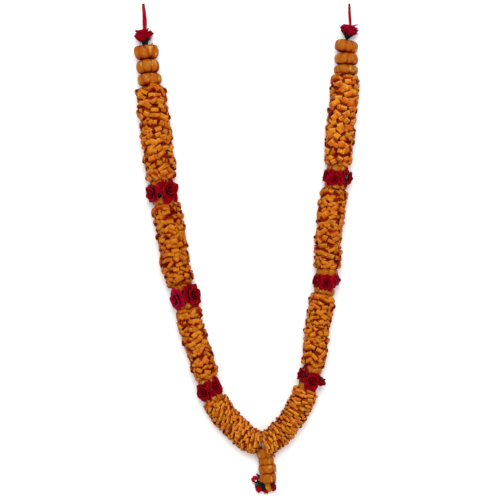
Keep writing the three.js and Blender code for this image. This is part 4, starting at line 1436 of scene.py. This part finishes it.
class GARLAND_OT_tassel(Operator):
    """The tassel: small buds on leafy stems, and a folded strip over them"""

    bl_idname = "garland.tassel"
    bl_label = "Tassel"

    def execute(self, context):
        sizes = context.scene.garland_sizes
        draw = np.random.default_rng(sizes.seed + 3)
        foot = np.array(TASSEL_FOOT) * MM
        leaves = Mould("leaf")
        for number, (root, tip, half_width) in enumerate(BUDS, 1):
            root, tip, half_width = np.array(root) * MM, np.array(tip) * MM, half_width * MM
            place = Place.level(root, unit(tip - root))
            petals = Mould("rose")
            add_rose(
                petals, place, half_width, float(np.linalg.norm(tip - root)), 0.0,
                sizes.petal_thickness * 0.8, draw, tints=(0.97, 1.0) if number == 1 else (0, 1), **BUD_ROSE,
            )
            petals.dressed(f"tassel_bud_petals_{number}", f"tassel_bud_{number}")
            add_stem(leaves, foot, place.shifted(1.5 * MM).centre, BUD_STEM * MM)
            add_sepals(
                leaves, place, 5, half_width, 0.6 * half_width, (0.7 * MM, -0.6 * MM), 0.35, 0.5, sizes, draw
            )
        for root, tip, width, tint in TASSEL_LEAVES:
            add_long_leaf(leaves, root, tip, width, sizes.leaf_thickness, tint)
        leaves.dressed("tassel_leaf_stems", "tassel_leaves")
        strip = Mould("strip")
        for form in (FOLDED_STRIP, SIDE_STRIP, FLAP_STRIP):
            add_strip(strip, *form, sizes.strip_thickness)
        strip.dressed("tassel_folded_strip", "tassel_strip")
        return {"FINISHED"}


def add_ribbon(mould, route, distances, widths, thickness):
    """A ribbon along a route, by its widths at four places from its start to its end."""
    columns, hollow = 5, 0.35 * MM
    halves = np.interp(distances / route.length, WIDTH_PLACES, widths) / 2 * MM
    lift = hollow * (np.linspace(-1, 1, columns) ** 2 - 0.5)
    add_band(mould, route, distances, halves, [lift] * len(distances), thickness)


class GARLAND_OT_ties(Operator):
    """The satin ribbon ties at the top roses"""

    bl_idname = "garland.ties"
    bl_label = "Ribbon ties"

    def execute(self, context):
        sizes = context.scene.garland_sizes
        for side, points in TIE_ROUTES.items():
            route = Route(points)
            distances = np.linspace(0, route.length, 44)
            widths = TIE_WIDTHS[side]
            mould = Mould("ribbon")
            add_ribbon(mould, route, distances, widths, sizes.ribbon_thickness)
            ribbon = mould.dressed(f"{side}_ribbon", f"{side}_tie")
            path = [route.point(distance) for distance in distances]
            tuple(path[0])
        tail = Route(TIE_TAIL)
        mould = Mould("ribbon")
        add_ribbon(mould, tail, np.linspace(0, tail.length, 14), TAIL_WIDTHS, sizes.ribbon_thickness)
        knot = Route(TIE_ROUTES["right"]).place(TIE_KNOT_PLACE * MM)
        mould.add(*knot_form(knot, *TIE_KNOT), edge=1.0)
        mould.dressed("right_ribbon_ends")
        return {"FINISHED"}


# Stage


def lamp(name, place, target, size, power):
    """A round lamp that shines from its place at a target."""
    light = bpy.data.lights.new(name, "AREA")
    light.shape, light.size, light.energy = "DISK", size, power
    holder = bpy.data.objects.new(name, light)
    holder.location = place
    holder.rotation_euler = (Vector(target) - Vector(place)).to_track_quat("-Z", "Y").to_euler()
    bpy.context.scene.collection.objects.link(holder)


class GARLAND_OT_stage(Operator):
    """Plain floor, soft studio light and the camera that looks straight down"""

    bl_idname = "garland.stage"
    bl_label = "Stage"

    def execute(self, context):
        scene = context.scene
        camera = bpy.data.cameras.new("Camera")
        camera.sensor_width = SENSOR_WIDTH
        camera.lens = SENSOR_WIDTH * (CAMERA_HEIGHT - VIEW_LEVEL) / VIEW_WIDTH
        holder = bpy.data.objects.new("Camera", camera)
        holder.location = VIEW_CENTRE[0] * MM, VIEW_CENTRE[1] * MM, CAMERA_HEIGHT
        scene.collection.objects.link(holder)
        scene.camera = holder

        mesh = bpy.data.meshes.new("floor")
        points = [(x * FLOOR_HALF, y * FLOOR_HALF, 0) for x, y in ((-1, -1), (1, -1), (1, 1), (-1, 1))]
        mesh.from_pydata(points, [], [(0, 1, 2, 3)])
        mesh.materials.append(finish_of("floor"))
        floor = bpy.data.objects.new("floor", mesh)
        scene.collection.objects.link(floor)
        floor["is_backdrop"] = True

        middle = VIEW_CENTRE[0] * MM, VIEW_CENTRE[1] * MM, 0.0
        for name, (place, size, power) in LAMPS.items():
            lamp(name, place, middle, size, power)
        world = bpy.data.worlds.new("Studio")
        world.use_nodes = True
        background = world.node_tree.nodes["Background"].inputs
        background["Color"].default_value = (1, 1, 1, 1)
        background["Strength"].default_value = SKY_STRENGTH
        scene.world = world
        scene.view_settings.view_transform = "Standard"
        return {"FINISHED"}


class GARLAND_PT_panel(Panel):
    """Steps and settings of the garland"""

    bl_label = "Garland"
    bl_idname = "GARLAND_PT_panel"
    bl_space_type = "VIEW_3D"
    bl_region_type = "UI"
    bl_category = "Garland"

    def draw(self, context):
        for operator in OPERATORS:
            self.layout.operator(operator.bl_idname)
        for settings in (context.scene.garland_sizes, context.scene.garland_colours):
            box = self.layout.box()
            for name in settings.__annotations__:
                box.prop(settings, name)


OPERATORS = (
    GARLAND_OT_stage,
    GARLAND_OT_ties,
    GARLAND_OT_thread,
    GARLAND_OT_bunches,
    GARLAND_OT_puffs,
    GARLAND_OT_rose_bands,
    GARLAND_OT_top_roses,
    GARLAND_OT_tassel,
)
CLASSES = (GarlandSizes, GarlandColours, *OPERATORS, GARLAND_PT_panel)


def register():
    for cls in CLASSES:
        bpy.utils.register_class(cls)
    bpy.types.Scene.garland_sizes = PointerProperty(type=GarlandSizes)
    bpy.types.Scene.garland_colours = PointerProperty(type=GarlandColours)


def unregister():
    del bpy.types.Scene.garland_sizes
    del bpy.types.Scene.garland_colours
    for cls in reversed(CLASSES):
        bpy.utils.unregister_class(cls)


def main():
    register()
    for operator in OPERATORS:
        group, name = operator.bl_idname.split(".")
        getattr(getattr(bpy.ops, group), name)()
    boxes = {"cad": CAD_BOX, "visual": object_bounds()}
    {name: [list(corner) for corner in box] for name, box in boxes.items()}


if __name__ == "__main__":
    main()
